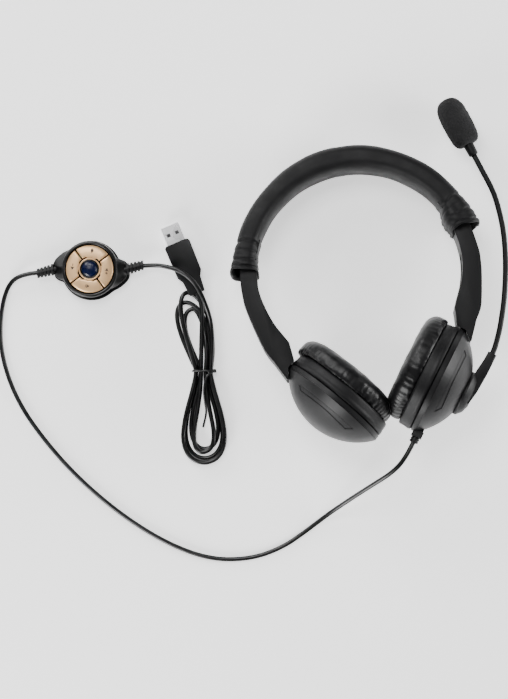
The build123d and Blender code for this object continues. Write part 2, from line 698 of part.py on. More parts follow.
def usb_plug():
    """The USB plug: its steel shell, tongue, contacts and moulded grip."""
    shell = block((-SHELL_IN, SHELL_OUT), (-SHELL_W / 2, SHELL_W / 2), (-SHELL_H / 2, SHELL_H / 2))
    inside = SHELL_W / 2 - SHELL_T
    headroom = SHELL_H / 2 - SHELL_T
    shell -= block((-SHELL_IN - 1, SHELL_OUT + 1), (-inside, inside), (-headroom, headroom))
    for side in (-1, 1):
        shell -= Pos(6.1, side * 2.9, 0) * Box(2.2, 2.4, 10)
    tongue = block((-SHELL_IN, SHELL_OUT - 0.6), (-inside + 0.02, inside - 0.02), (0.05, headroom - 0.02))
    contacts = []
    for y, long in ((-3.5, 8.6), (-1.0, 7.6), (1.0, 7.6), (3.5, 8.6)):
        strip = block((10.6 - long, 10.6), (y - 0.5, y + 0.5), (-0.2, 0.05))
        contacts.append(strip)
    neck_start = OVERMOLD_MAIN + 3.5
    half = OVERMOLD_W / 2
    grip_plan = [
        (0, -half + 1.2),
        (0, half - 1.2),
        (-1.2, half),
        (-OVERMOLD_MAIN, half - 0.3),
        (-neck_start, 6.1),
        (-OVERMOLD_LENGTH, 5.2),
        (-OVERMOLD_LENGTH, -5.2),
        (-neck_start, -6.1),
        (-OVERMOLD_MAIN, -half + 0.3),
        (-1.2, -half),
    ]
    grip = prism(grip_plan, -OVERMOLD_H / 2, OVERMOLD_H / 2)
    high = OVERMOLD_H / 2
    side_view = [
        (0, -high),
        (0, high),
        (-OVERMOLD_MAIN, high),
        (-neck_start, high - 0.7),
        (-OVERMOLD_LENGTH, high - 1.1),
        (-OVERMOLD_LENGTH, -high + 0.4),
        (-neck_start, -high),
    ]
    grip &= extrude(Plane.XZ * make_face(Polyline(*side_view, close=True)), 12, both=True)
    grip -= block((-SHELL_IN, 1), (-SHELL_W / 2, SHELL_W / 2), (-SHELL_H / 2, SHELL_H / 2))
    return {"usb_shell": [shell], "usb_tongue": [tongue], "usb_contacts": contacts, "usb_grip": [grip]}


# Hank, drawn with its length along -Y and its tie at the origin


def hank():
    """The outer form of the hank of spare lead, pinched by its tie."""
    upper = [
        (-6.6, 2.0),
        (-12.5, 17.0),
        (-18.6, 31.0),
        (-19.0, 40.0),
        (-15.5, 46.5),
        (-11.8, 48.0),
        (-8.6, 45.5),
        (-4.13, 42.0),
        (1.0, 44.14),
        (2.3, 36.0),
        (3.4, 26.0),
        (3.6, 17.5),
        (7.7, 17.5),
        (7.7, 8.0),
        (6.6, 2.0),
    ]
    lower = [
        (6.6, -2.0),
        (9.5, -14.0),
        (14.0, -28.0),
        (15.8, -38.0),
        (13.5, -49.0),
        (7.0, -57.5),
        (-2.0, -60.0),
        (-9.5, -55.0),
        (-14.3, -45.0),
        (-14.5, -35.0),
        (-12.0, -19.0),
        (-6.6, -2.0),
    ]
    waist = block((-HANK_WAIST_HALF, HANK_WAIST_HALF), (-2.5, 2.5), (0.9, HANK_H - 0.9))
    return prism(upper, 0, HANK_H) + prism(lower, 0, HANK_H) + waist


def hank_tie():
    """The wire tie round the hank's waist."""
    wide = HANK_WAIST_HALF + 0.85
    ring = block((-wide, wide), (-0.6, 0.6), (0.05, HANK_H - 0.05))
    clear = HANK_WAIST_HALF + 0.05
    return ring - block((-clear, clear), (-1, 1), (0.85, HANK_H - 0.85))


def write(name, place, solids):
    """Write one node's STEP file, from its solids placed on the table."""
    placed = [place * solid for solid in solids]
    shape = placed[0] if len(placed) == 1 else Compound(children=placed)
    export_step(shape, f"parts/{name}.step")


def main():
    os.makedirs("parts", exist_ok=True)
    for name, solids in headband().items():
        write(name, BAND_TO_TABLE, solids)
    for name, solids in right_arm().items():
        write(name + "_right", BAND_TO_TABLE, solids)
        write(name + "_left", BAND_TO_TABLE, [mirrored(s) for s in solids])
    knuckle = stem_place() * hinge_knuckle()
    write("hinge_knuckle_right", BAND_TO_TABLE, [knuckle])
    write("hinge_knuckle_left", BAND_TO_TABLE, [mirrored(knuckle)])
    right = cup(with_boom=True)
    right["cup_shell"][0] -= rod(SPIGOT_R + SPIGOT_GAP, HUB_SEAT_Z - 1, HUB_SEAT_Z + SHELL_WALL + 1)
    relief = cable_relief()
    right["cup_shell"][0] -= relief
    for name, solids in right.items():
        write(name + "_right", BAND_TO_TABLE * CUP_TO_BAND, solids)
    for name, solids in cup(with_boom=False).items():
        write(name + "_left", BAND_TO_TABLE, [mirrored(CUP_TO_BAND * s) for s in solids])
    write("cable_relief", BAND_TO_TABLE * CUP_TO_BAND, [relief])
    write("boom_hub", BAND_TO_TABLE * CUP_TO_BAND, [boom_hub()])
    write("boom_clip", BAND_TO_TABLE * CUP_TO_BAND, [boom_clip()])
    write("gooseneck", BAND_TO_TABLE, [gooseneck()])
    for name, solids in microphone().items():
        write(name, BAND_TO_TABLE, solids)
    for name, solids in remote_case().items():
        write(name, REMOTE_TO_TABLE, solids)
    for name, solids in remote_inside().items():
        write(name, REMOTE_TO_TABLE, solids)
    for name, angle in zip(KEY_NAMES, key_angles()):
        write(name, REMOTE_TO_TABLE, [remote_key(angle)])
    for name, solids in usb_plug().items():
        write(name, PLUG_TO_TABLE, solids)
    write("cord_hank", HANK_TO_TABLE, [hank()])
    write("hank_tie", HANK_TO_TABLE, [hank_tie()])
    relief_points = [Pos(0, -RELIEF_REACH - run, RELIEF_Z) for run in (0, FIRST_RUN)]
    lead_start = [(BAND_TO_TABLE * CUP_TO_BAND * point).position for point in relief_points]
    write("lead_to_remote", Location(), [cord_tube("lead_to_remote", lead_start + LEAD_TO_REMOTE, CORD_R)])
    write("lead_to_hank", Location(), [cord_tube("lead_to_hank", LEAD_TO_HANK, CORD_R)])
    neck_end = (PLUG_TO_TABLE * Pos(-OVERMOLD_LENGTH, 0, 0)).position
    lead_end = (PLUG_TO_TABLE * Pos(-OVERMOLD_LENGTH - PLUG_LEAD, 0, 0)).position
    write("lead_to_plug", Location(), [cord_tube("lead_to_plug", [neck_end, lead_end], CORD_R)])


if __name__ == "__main__":
    main()
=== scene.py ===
"""The look of an office headset with a boom microphone, an in-line remote and a USB plug.

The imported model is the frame: places come from its joints and boxes. Blender's unit is the
metre, and MM turns the sizes that are named in millimetres into metres.
"""

import json
import math

import bmesh
import bpy
from mathutils import Matrix, Vector, noise

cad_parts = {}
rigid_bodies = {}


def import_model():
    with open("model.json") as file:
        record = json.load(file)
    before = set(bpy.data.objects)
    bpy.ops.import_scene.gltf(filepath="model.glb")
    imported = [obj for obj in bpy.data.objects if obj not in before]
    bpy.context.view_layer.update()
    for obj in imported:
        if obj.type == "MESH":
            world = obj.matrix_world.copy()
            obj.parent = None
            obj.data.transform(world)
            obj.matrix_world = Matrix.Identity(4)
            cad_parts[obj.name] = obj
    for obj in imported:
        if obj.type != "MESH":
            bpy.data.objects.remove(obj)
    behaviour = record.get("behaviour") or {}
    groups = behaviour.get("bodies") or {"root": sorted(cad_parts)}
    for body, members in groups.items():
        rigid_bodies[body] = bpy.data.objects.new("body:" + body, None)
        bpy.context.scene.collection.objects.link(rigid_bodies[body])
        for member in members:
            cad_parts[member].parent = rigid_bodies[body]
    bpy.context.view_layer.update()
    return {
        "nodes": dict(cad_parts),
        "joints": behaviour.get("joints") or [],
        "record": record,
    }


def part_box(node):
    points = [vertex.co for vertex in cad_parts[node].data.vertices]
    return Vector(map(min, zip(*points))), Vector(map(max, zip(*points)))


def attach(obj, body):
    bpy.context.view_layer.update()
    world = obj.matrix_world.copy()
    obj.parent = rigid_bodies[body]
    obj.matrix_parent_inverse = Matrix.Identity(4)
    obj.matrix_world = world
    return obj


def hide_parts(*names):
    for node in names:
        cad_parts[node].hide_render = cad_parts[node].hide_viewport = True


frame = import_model()
MM = 0.001
TURN = 2 * math.pi

# Working frames, read from the joints and boxes

JOINTS = {joint["name"]: joint for joint in frame["joints"]}
UP = Vector((0, 0, 1))


def frame_matrix(origin, x, y, z):
    """The matrix of a frame from its origin and its three axes."""
    matrix = Matrix((x, y, z)).transposed().to_4x4()
    matrix.translation = Vector(origin)
    return matrix


def middle(node, height=None):
    """The middle of a node's box, at a height of its own if one is given."""
    low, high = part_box(node)
    point = (low + high) / 2
    if height is not None:
        point.z = height
    return point


def flat_frame(origin, along):
    """A frame with Z up and X along a level direction."""
    x = Vector((along.x, along.y, 0)).normalized()
    return frame_matrix(origin, x, UP.cross(x), UP)


ACROSS = Vector((1, 0, 0))
WIDTH_AXIS = -Vector(JOINTS["right_slider"]["axis"]).normalized()
BAND = frame_matrix(JOINTS["right_slider"]["pos_m"], ACROSS, WIDTH_AXIS.cross(ACROSS), WIDTH_AXIS)
CUP_AXIS = Vector(JOINTS["mic_boom_turn"]["axis"]).normalized()
CUP = frame_matrix(JOINTS["mic_boom_turn"]["pos_m"], WIDTH_AXIS, CUP_AXIS.cross(WIDTH_AXIS), CUP_AXIS)
MIDDLE_X = BAND.translation.x
REMOTE = flat_frame(middle("key_hub", 0), middle("remote_boot_out") - middle("remote_boot_in"))
HANK_TURN = -12.0
HANK = Matrix.Translation(middle("hank_tie", 0)) @ Matrix.Rotation(math.radians(HANK_TURN), 4, "Z")


def place(matrix, x, y, z):
    """A point of a working frame, given in millimetres, in the object's own frame."""
    return matrix @ (Vector((x, y, z)) * MM)


# Small helpers


def smooth(t):
    """A soft step from 0 to 1 as t goes from 0 to 1."""
    t = min(max(t, 0.0), 1.0)
    return t * t * (3 - 2 * t)


def mix(a, b, t):
    return a + (b - a) * t


def bump_at(distance, width):
    """A bell of height 1 at distance 0."""
    return math.exp(-((distance / width) ** 2))


def ripple(x, y, z, size):
    """Smooth noise from about -1 to 1, with features of the given size."""
    return noise.noise(Vector((x, y, z)) / size)


def add_mesh(name, verts, faces, smooth_faces=True):
    """A new mesh object from points and faces, with its faces turned outwards."""
    mesh = bpy.data.meshes.new(name)
    mesh.from_pydata([tuple(v) for v in verts], [], faces)
    work = bmesh.new()
    work.from_mesh(mesh)
    bmesh.ops.recalc_face_normals(work, faces=work.faces)
    work.to_mesh(mesh)
    work.free()
    for polygon in mesh.polygons:
        polygon.use_smooth = smooth_faces
    piece = bpy.data.objects.new(name, mesh)
    bpy.context.scene.collection.objects.link(piece)
    return piece


def loft(name, rings, closed=False, smooth_faces=True):
    """A skin over rings of equal length: closed into a loop, or capped by a fan at each end."""
    count = len(rings[0])
    verts = [point for ring in rings for point in ring]
    faces = []
    spans = len(rings) if closed else len(rings) - 1
    for i in range(spans):
        a, b = i * count, (i + 1) % len(rings) * count
        for j in range(count):
            k = (j + 1) % count
            faces.append((a + j, a + k, b + k, b + j))
    if not closed:
        for start in (0, (len(rings) - 1) * count):
            centre = sum((verts[start + j] for j in range(count)), Vector()) / count
            verts.append(centre)
            for j in range(count):
                faces.append((start + j, start + (j + 1) % count, len(verts) - 1))
    return add_mesh(name, verts, faces, smooth_faces)


def turned_piece(name, matrix, profile, around):
    """A ring turned about a frame's Z axis from a closed profile of distances and heights."""
    rings = []
    for i in range(around):
        c, t = math.cos(TURN * i / around), math.sin(TURN * i / around)
        rings.append([place(matrix, r * c, r * t, z) for r, z in profile])
    return loft(name, rings, closed=True)


def crowned_loop(half_x, half_y, power, count):
    """Evenly spaced points round a crowned rectangle, each with its outward direction."""
    fine = 16 * count
    dense = []
    for i in range(fine):
        c, s = math.cos(TURN * i / fine), math.sin(TURN * i / fine)
        x = half_x * math.copysign(abs(c) ** (2 / power), c)
        y = half_y * math.copysign(abs(s) ** (2 / power), s)
        dense.append(Vector((x, y)))
    lengths = [0.0]
    for i in range(fine):
        lengths.append(lengths[-1] + (dense[(i + 1) % fine] - dense[i]).length)
    loop, k = [], 0
    for i in range(count):
        target = lengths[-1] * i / count
        while lengths[k + 1] < target:
            k += 1
        t = (target - lengths[k]) / (lengths[k + 1] - lengths[k])
        along = dense[(k + 1) % fine] - dense[k]
        outward = Vector((along.y, -along.x)).normalized()
        loop.append((dense[k] + along * t, outward))
    return loop


def flow(points, count, closed=True):
    """Points on a smooth curve through the given ones."""
    size = len(points)
    spans = size if closed else size - 1
    out = []
    for i in range(count):
        at = spans * i / (count if closed else count - 1)
        k = min(int(at), spans - 1)
        t = at - k
        near = range(k - 1, k + 3)
        places = [j % size if closed else min(max(j, 0), size - 1) for j in near]
        a, b, c, d = [Vector(points[j]) for j in places]
        square, cube = 2 * a - 5 * b + 4 * c - d, 3 * b - a - 3 * c + d
        out.append(0.5 * (2 * b + (c - a) * t + square * t**2 + cube * t**3))
    return out


def mirror_copy(piece, name):
    """The other side's copy of a mesh piece."""
    mesh = piece.data.copy()
    for vertex in mesh.vertices:
        vertex.co.x = 2 * MIDDLE_X - vertex.co.x
    mesh.flip_normals()
    twin = bpy.data.objects.new(name, mesh)
    bpy.context.scene.collection.objects.link(twin)
    return twin


WELD, FLAT_ANGLE, SHARP_ANGLE, BEVEL_STEPS = 0.002, 0.6, 28, 3


def softened(node, name, width):
    """A copy of a CAD node's shape with its sharp edges rounded."""
    mesh = frame["nodes"][node].data.copy()
    work = bmesh.new()
    work.from_mesh(mesh)
    bmesh.ops.remove_doubles(work, verts=work.verts, dist=WELD * MM)
    flat = math.radians(FLAT_ANGLE)
    bmesh.ops.dissolve_limit(work, angle_limit=flat, verts=work.verts, edges=work.edges)
    work.to_mesh(mesh)
    work.free()
    piece = bpy.data.objects.new(name, mesh)
    bpy.context.scene.collection.objects.link(piece)
    edge = piece.modifiers.new("Edges", "BEVEL")
    edge.width = width * MM
    edge.segments = BEVEL_STEPS
    edge.limit_method = "ANGLE"
    edge.angle_limit = math.radians(SHARP_ANGLE)
    edge.harden_normals = True
    for polygon in mesh.polygons:
        polygon.use_smooth = True
    apply_modifiers(piece)
    return piece


def apply_modifiers(piece):
    """Gives a piece the shape that its modifiers make, and removes them."""
    bpy.context.view_layer.update()
    graph = bpy.context.evaluated_depsgraph_get()
    shaped = bpy.data.meshes.new_from_object(piece.evaluated_get(graph))
    piece.modifiers.clear()
    piece.data = shaped


def settle(piece, body, slot, *replaced):
    """Gives a piece its material and slot, lets it ride on a body and stand for CAD nodes."""
    piece.data.materials.clear()
    piece.data.materials.append(MATERIALS[slot])
    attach(piece, body)
    if replaced:
        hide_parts(*replaced)
    return piece


# Materials


def relief_layer(tree, coordinates, kind, size, height, stretch, normal):
    """One layer of surface relief: its texture, its size and its height in millimetres."""
    mapping = tree.nodes.new("ShaderNodeMapping")
    mapping.inputs["Scale"].default_value = stretch
    tree.links.new(coordinates, mapping.inputs["Vector"])
    if kind == "grain":
        texture = tree.nodes.new("ShaderNodeTexVoronoi")
        texture.feature = "DISTANCE_TO_EDGE"
        out = texture.outputs["Distance"]
    elif kind == "pores":
        texture = tree.nodes.new("ShaderNodeTexVoronoi")
        texture.feature = "F1"
        out = texture.outputs["Distance"]
    else:
        texture = tree.nodes.new("ShaderNodeTexNoise")
        texture.inputs["Detail"].default_value = 4.0
        out = texture.outputs["Fac"]
    texture.inputs["Scale"].default_value = 1 / (size * MM)
    tree.links.new(mapping.outputs["Vector"], texture.inputs["Vector"])
    bump = tree.nodes.new("ShaderNodeBump")
    bump.inputs["Strength"].default_value = 1.0
    bump.inputs["Distance"].default_value = height * MM
    tree.links.new(out, bump.inputs["Height"])
    if normal is not None:
        tree.links.new(normal, bump.inputs["Normal"])
    return bump.outputs["Normal"]


def surface(name, colour, rough, relief=(), mottle=0.12, mottle_size=9.0, rough_vary=0.07, **sockets):
    """A procedural material: its colour and roughness vary softly, and relief layers shape its surface."""
    material = bpy.data.materials.new(name)
    material.use_nodes = True
    tree = material.node_tree
    shader = tree.nodes["Principled BSDF"]
    coordinates = tree.nodes.new("ShaderNodeTexCoord").outputs["Object"]
    cloud = tree.nodes.new("ShaderNodeTexNoise")
    cloud.inputs["Scale"].default_value = 1 / (mottle_size * MM)
    cloud.inputs["Detail"].default_value = 5.0
    tree.links.new(coordinates, cloud.inputs["Vector"])
    tint = tree.nodes.new("ShaderNodeMix")
    tint.data_type = "RGBA"
    tint.inputs["A"].default_value = (*[c * (1 - mottle) for c in colour], 1)
    tint.inputs["B"].default_value = (*[c * (1 + mottle) for c in colour], 1)
    tree.links.new(cloud.outputs["Fac"], tint.inputs["Factor"])
    tree.links.new(tint.outputs["Result"], shader.inputs["Base Color"])
    polish = tree.nodes.new("ShaderNodeMapRange")
    polish.inputs["From Min"].default_value = 0.3
    polish.inputs["From Max"].default_value = 0.7
    polish.inputs["To Min"].default_value = rough - rough_vary
    polish.inputs["To Max"].default_value = rough + rough_vary
    tree.links.new(cloud.outputs["Fac"], polish.inputs["Value"])
    tree.links.new(polish.outputs["Result"], shader.inputs["Roughness"])
    for socket, value in sockets.items():
        shader.inputs[socket.replace("_", " ").title().replace("Ior", "IOR")].default_value = value
    normal = None
    for kind, size, height, stretch in relief:
        normal = relief_layer(tree, coordinates, kind, size, height, stretch, normal)
    if normal is not None:
        tree.links.new(normal, shader.inputs["Normal"])
    return material


EVEN = (1, 1, 1)
MATERIALS = {
    "sleeve_leatherette": surface(
        "sleeve_leatherette", (0.006, 0.006, 0.0065), 0.55,
        [("noise", 9.0, 0.25, EVEN), ("grain", 1.1, 0.07, EVEN), ("noise", 0.35, 0.02, EVEN)],
        specular_ior_level=0.2,
    ),
    "pad_leatherette": surface(
        "pad_leatherette", (0.004, 0.004, 0.0045), 0.4,
        [("noise", 4.0, 0.1, EVEN), ("grain", 0.9, 0.03, EVEN), ("noise", 0.3, 0.01, EVEN)],
        specular_ior_level=0.3,
    ),
    "pad_foam": surface("pad_foam", (0.03, 0.03, 0.032), 0.95, [("pores", 0.6, 0.2, EVEN)]),
    "screen_cloth": surface("screen_cloth", (0.012, 0.012, 0.013), 0.9, [("grain", 0.5, 0.1, EVEN)]),
    "shell_plastic": surface(
        "shell_plastic", (0.0085, 0.0085, 0.009), 0.42, [("noise", 0.22, 0.006, EVEN)], rough_vary=0.04,
        specular_ior_level=0.2,
    ),
    "inlay_plastic": surface(
        "inlay_plastic", (0.006, 0.006, 0.0065), 0.42, [("noise", 0.5, 0.01, (1, 1, 12))], rough_vary=0.04,
        specular_ior_level=0.2,
    ),
    "arm_plastic": surface(
        "arm_plastic", (0.006, 0.006, 0.0065), 0.5, [("noise", 0.25, 0.008, EVEN)], specular_ior_level=0.2
    ),
    "inner_plastic": surface(
        "inner_plastic", (0.004, 0.004, 0.0045), 0.5, [("noise", 0.25, 0.008, EVEN)],
        specular_ior_level=0.25,
    ),
    "nylon": surface("nylon", (0.4, 0.4, 0.38), 0.5, [("noise", 0.4, 0.01, EVEN)]),
    "spring_steel": surface(
        "spring_steel", (0.5, 0.5, 0.52), 0.3, [("noise", 0.3, 0.004, (1, 1, 15))], metallic=1.0
    ),
    "screw_steel": surface(
        "screw_steel", (0.42, 0.42, 0.44), 0.35, [("noise", 0.3, 0.006, EVEN)], metallic=1.0
    ),
    "magnet_metal": surface(
        "magnet_metal", (0.25, 0.25, 0.26), 0.45, [("noise", 0.4, 0.01, EVEN)], metallic=1.0
    ),
    "diaphragm_film": surface("diaphragm_film", (0.6, 0.58, 0.5), 0.25, [("noise", 0.8, 0.01, EVEN)]),
    "cable_rubber": surface("cable_rubber", (0.003, 0.003, 0.0033), 0.34, [("noise", 0.5, 0.01, EVEN)]),
    "boot_rubber": surface(
        "boot_rubber", (0.005, 0.005, 0.0055), 0.5, [("noise", 0.3, 0.012, EVEN)], specular_ior_level=0.3
    ),
    "neck_rubber": surface(
        "neck_rubber", (0.003, 0.003, 0.0033), 0.5, [("noise", 0.4, 0.01, EVEN)], specular_ior_level=0.2
    ),
    "wind_foam": surface(
        "wind_foam", (0.008, 0.008, 0.0085), 0.96, [("pores", 0.8, 0.3, EVEN), ("noise", 0.3, 0.15, EVEN)]
    ),
    "remote_plastic": surface(
        "remote_plastic", (0.003, 0.003, 0.0033), 0.3, [("noise", 1.5, 0.004, EVEN)], rough_vary=0.04,
        specular_ior_level=0.4,
    ),
    "key_gold": surface(
        "key_gold", (0.78, 0.49, 0.25), 0.38, [("noise", 0.2, 0.004, EVEN)], mottle=0.06, rough_vary=0.05,
        metallic=0.45,
    ),
    "lens_blue": surface(
        "lens_blue", (0.002, 0.005, 0.03), 0.3, [("noise", 2.0, 0.004, EVEN)], mottle=0.8, mottle_size=3.0,
        rough_vary=0.03, specular_ior_level=0.3,
    ),
    "board_green": surface("board_green", (0.02, 0.16, 0.06), 0.4, [("grain", 1.5, 0.02, EVEN)]),
    "switch_metal": surface(
        "switch_metal", (0.5, 0.5, 0.5), 0.3, [("noise", 0.3, 0.004, EVEN)], metallic=1.0
    ),
    "plug_steel": surface(
        "plug_steel", (0.8, 0.8, 0.81), 0.3, [("noise", 0.25, 0.004, (1, 10, 1))], mottle=0.05,
        metallic=0.45,
    ),
    "tongue_plastic": surface("tongue_plastic", (0.012, 0.012, 0.013), 0.45, [("noise", 0.4, 0.008, EVEN)]),
    "contact_gold": surface(
        "contact_gold", (0.8, 0.6, 0.25), 0.25, [("noise", 0.4, 0.004, EVEN)], metallic=1.0
    ),
    "tie_wire": surface("tie_wire", (0.01, 0.01, 0.0105), 0.4, [("noise", 0.4, 0.012, EVEN)]),
}
MARK_INK = surface("mark_ink", (0.05, 0.03, 0.02), 0.5, [("noise", 0.3, 0.004, EVEN)])


def dress_cad_nodes():
    """Gives every CAD node the material of its slot in the record."""
    for row in frame["record"]["subparts"]:
        node = frame["nodes"][row["node"]]
        for holder in node.material_slots:
            holder.material = MATERIALS[row["material_slot"]]


# Camera, lights and floor

CAMERA_HEIGHT = 1.5
FIELD_HEIGHT, FIELD_DISTANCE = 0.4474, 1.475
VIEW_CENTRE = (-0.0846, -0.0249)
VIEW_TURN = -12.0
SENSOR = 36.0
FLOOR_GLOW, FLOOR_HALF = 1.0, 3
SKY_LOW, SKY_HIGH, SKY_SIDE_LIGHT, SKY_TOP_LIGHT = 0.35, 0.98, 0.55, 0.3
LAMPS = {
    "lamp_left": ((-0.85, -0.75, 0.42), 0.5, 17),
    "lamp_right": ((0.95, -0.2, 0.3), 0.5, 14),
    "lamp_top": ((-0.2, 0.62, 1.25), 0.55, 12),
    "lamp_far": ((-0.5, 0.95, 0.5), 0.5, 9),
}


def make_camera():
    """A camera straight above the table, as high as in the reference view."""
    data = bpy.data.cameras.new("camera")
    data.sensor_width = SENSOR
    data.lens = SENSOR * FIELD_DISTANCE / FIELD_HEIGHT
    camera = bpy.data.objects.new("camera", data)
    camera.location = (*VIEW_CENTRE, CAMERA_HEIGHT)
    camera.rotation_euler = (0, 0, math.radians(VIEW_TURN))
    bpy.context.scene.collection.objects.link(camera)
    bpy.context.scene.camera = camera


def area_light(name, spot, size, watts):
    """A square soft light at a spot, aimed at the middle of the view."""
    data = bpy.data.lights.new(name, "AREA")
    data.size = size
    data.energy = watts
    light = bpy.data.objects.new(name, data)
    light.location = spot
    aim = Vector((*VIEW_CENTRE, 0)) - Vector(spot)
    light.rotation_euler = aim.to_track_quat("-Z", "Y").to_euler()
    bpy.context.scene.collection.objects.link(light)


def make_light():
    """Soft studio light: a sky that is darker overhead, and four large soft lamps at the sides."""
    world = bpy.data.worlds.new("studio")
    bpy.context.scene.world = world
    world.use_nodes = True
    tree = world.node_tree
    backdrop = tree.nodes["Background"]
    direction = tree.nodes.new("ShaderNodeTexCoord")
    parts = tree.nodes.new("ShaderNodeSeparateXYZ")
    tree.links.new(direction.outputs["Generated"], parts.inputs["Vector"])
    level = tree.nodes.new("ShaderNodeMapRange")
    level.inputs["From Min"].default_value = SKY_LOW
    level.inputs["From Max"].default_value = SKY_HIGH
    level.inputs["To Min"].default_value = SKY_SIDE_LIGHT
    level.inputs["To Max"].default_value = SKY_TOP_LIGHT
    tree.links.new(parts.outputs["Z"], level.inputs["Value"])
    tree.links.new(level.outputs["Result"], backdrop.inputs["Strength"])
    for name, (spot, size, watts) in LAMPS.items():
        area_light(name, spot, size, watts)


def make_floor():
    """A plain pale floor, level with the underside of the object."""
    half = FLOOR_HALF
    corners = [(-half, -half, 0), (half, -half, 0), (half, half, 0), (-half, half, 0)]
    floor = add_mesh("floor", corners, [(0, 1, 2, 3)], False)
    paint = surface(
        "floor_paint", (0.9, 0.9, 0.9), 0.9, [("noise", 30.0, 0.02, EVEN)], mottle=0.01,
        emission_color=(1, 1, 1, 1), emission_strength=FLOOR_GLOW,
    )
    floor.data.materials.append(paint)


# Cords

CORD_R = 1.5
LEAD_TO_REMOTE = [
    (0.00177, -0.1035, 0.04047),
    (-0.00536, -0.11245, 0.04167),
    (-0.0151, -0.1196, 0.0386),
    (-0.0303, -0.1259, 0.028),
    (-0.0454, -0.1328, 0.014),
    (-0.0599, -0.1394, 0.005),
    (-0.0758, -0.1473, 0.0018),
    (-0.0933, -0.1547, 0.0016),
    (-0.1148, -0.1577, 0.0016),
    (-0.1403, -0.1527, 0.0016),
    (-0.1658, -0.1369, 0.0016),
    (-0.1913, -0.1122, 0.0016),
    (-0.2133, -0.0837, 0.0016),
    (-0.2303, -0.0542, 0.0016),
    (-0.2423, -0.0252, 0.0016),
    (-0.2463, 0.0045, 0.0016),
    (-0.242, 0.0295, 0.0019),
    (-0.2329, 0.0491, 0.0034),
    (-0.2219, 0.0544, 0.0062),
    (-0.2109, 0.0528, 0.0062),
]
LEAD_TO_HANK = [
    (-0.1443, 0.0432, 0.0062),
    (-0.1352, 0.0419, 0.0062),
    (-0.1272, 0.0386, 0.0096),
    (-0.12, 0.0342, 0.0128),
    (-0.114, 0.0271, 0.0128),
    (-0.1107, 0.0182, 0.0124),
    (-0.109, 0.0091, 0.0106),
    (-0.1082, 0.0005, 0.0068),
    (-0.10892, -0.00782, 0.0046),
    (-0.11058, -0.01565, 0.0046),
]
LEAD_TO_PLUG = [(-0.11156, 0.01102, 0.0043), (-0.11293, 0.01839, 0.0043)]

# The hank's end loops, in millimetres: start and end across the tie, length, bulge going out, bulge
# coming back, how late the bulge starts, lean of the far end, height at the start and the end, and
# where the height changes.
LOBE_STEPS = 12
LAYER_LOW, LAYER_HIGH = 1.6, 4.75
STRANDS = (4.7, 1.6, -1.5, -4.6)
LOWER_LOBES = [
    (STRANDS[0], STRANDS[3], 60.6, 18.6, 18.4, 1.05, 0.6, LAYER_HIGH, LAYER_HIGH, 0.5, 0.6),
    (STRANDS[0], STRANDS[3], 57.8, 16.0, 16.0, 1.05, 0.8, LAYER_LOW, LAYER_LOW, 0.5, 0.6),
    (STRANDS[1], STRANDS[2], 51.6, 13.8, 12.8, 1.05, 0.8, LAYER_LOW, LAYER_LOW, 0.5, 0.6),
    (STRANDS[1], STRANDS[2], 53.6, 14.0, 10.6, 2.0, -0.6, LAYER_HIGH, LAYER_HIGH, 0.5, 0.6),
]
UPPER_LOBES = [
    (STRANDS[3], STRANDS[0], 51.6, 7.8, 9.1, 0.6, -10.5, LAYER_HIGH, LAYER_LOW, 0.42, 0.56),
    (STRANDS[3], STRANDS[1], 45.2, 10.9, 10.0, 0.6, -10.0, LAYER_LOW, LAYER_LOW, 0.5, 0.6),
    (STRANDS[2], STRANDS[1], 40.8, 10.1, 4.3, 0.6, -6.8, LAYER_LOW, LAYER_HIGH, 0.63, 0.8),
]
RUN_TO_PLUG = [(-1.3, 12.0, 4.8), (-1.1, 23.0, 4.9), (-0.8, 34.0, 4.7)]


def lobe_points(lobe, way):
    """One end loop of the hank, from the tie and back to it; way is 1 above the tie and -1 below."""
    start, end, length, out, back, late, lean, z_start, z_end, change_from, change_to = lobe
    points = []
    for i in range(LOBE_STEPS + 1):
        angle = TURN * i / LOBE_STEPS
        reach = (1 - math.cos(angle)) / 2
        bulge = (out if angle < math.pi else back) * math.sin(angle) * reach**late
        x = mix(start, end, (1 - math.cos(angle / 2)) / 2) - way * bulge + lean * reach**1.5
        share = (i / LOBE_STEPS - change_from) / (change_to - change_from)
        z = mix(z_start, z_end, smooth(share))
        points.append(place(HANK, x, way * length * reach, z))
    return points


def hank_points():
    """The turns of the hank, one end loop after another, as points of the lead's own line."""
    points = []
    for k, lower in enumerate(LOWER_LOBES):
        points += lobe_points(lower, -1)[:-1]
        if k < len(UPPER_LOBES):
            points += lobe_points(UPPER_LOBES[k], 1)[:-1]
    points.append(lobe_points(LOWER_LOBES[-1], -1)[-1])
    return points + [place(HANK, *point) for point in RUN_TO_PLUG]


def cord_curve(name, points, radius):
    """A round cord along a smooth curve that the points steer."""
    data = bpy.data.curves.new(name, "CURVE")
    data.dimensions = "3D"
    data.bevel_depth = radius * MM
    data.bevel_resolution = 6
    data.resolution_u = 8
    spline = data.splines.new("NURBS")
    spline.points.add(len(points) - 1)
    for target, point in zip(spline.points, points):
        target.co = (*point, 1)
    spline.order_u = 3
    spline.use_endpoint_u = True
    cord = bpy.data.objects.new(name, data)
    bpy.context.scene.collection.objects.link(cord)
    return cord


make_camera()
lead_in = cord_curve("lead_cup_to_remote", LEAD_TO_REMOTE, CORD_R)
lead_out = cord_curve("lead_remote_to_plug", LEAD_TO_HANK + hank_points() + LEAD_TO_PLUG, CORD_R)
settle(lead_in, "right_cup", "cable_rubber", "lead_to_remote")
settle(lead_out, "right_cup", "cable_rubber", "lead_to_hank", "cord_hank", "lead_to_plug")

make_light()
make_floor()
dress_cad_nodes()


# Hank tie

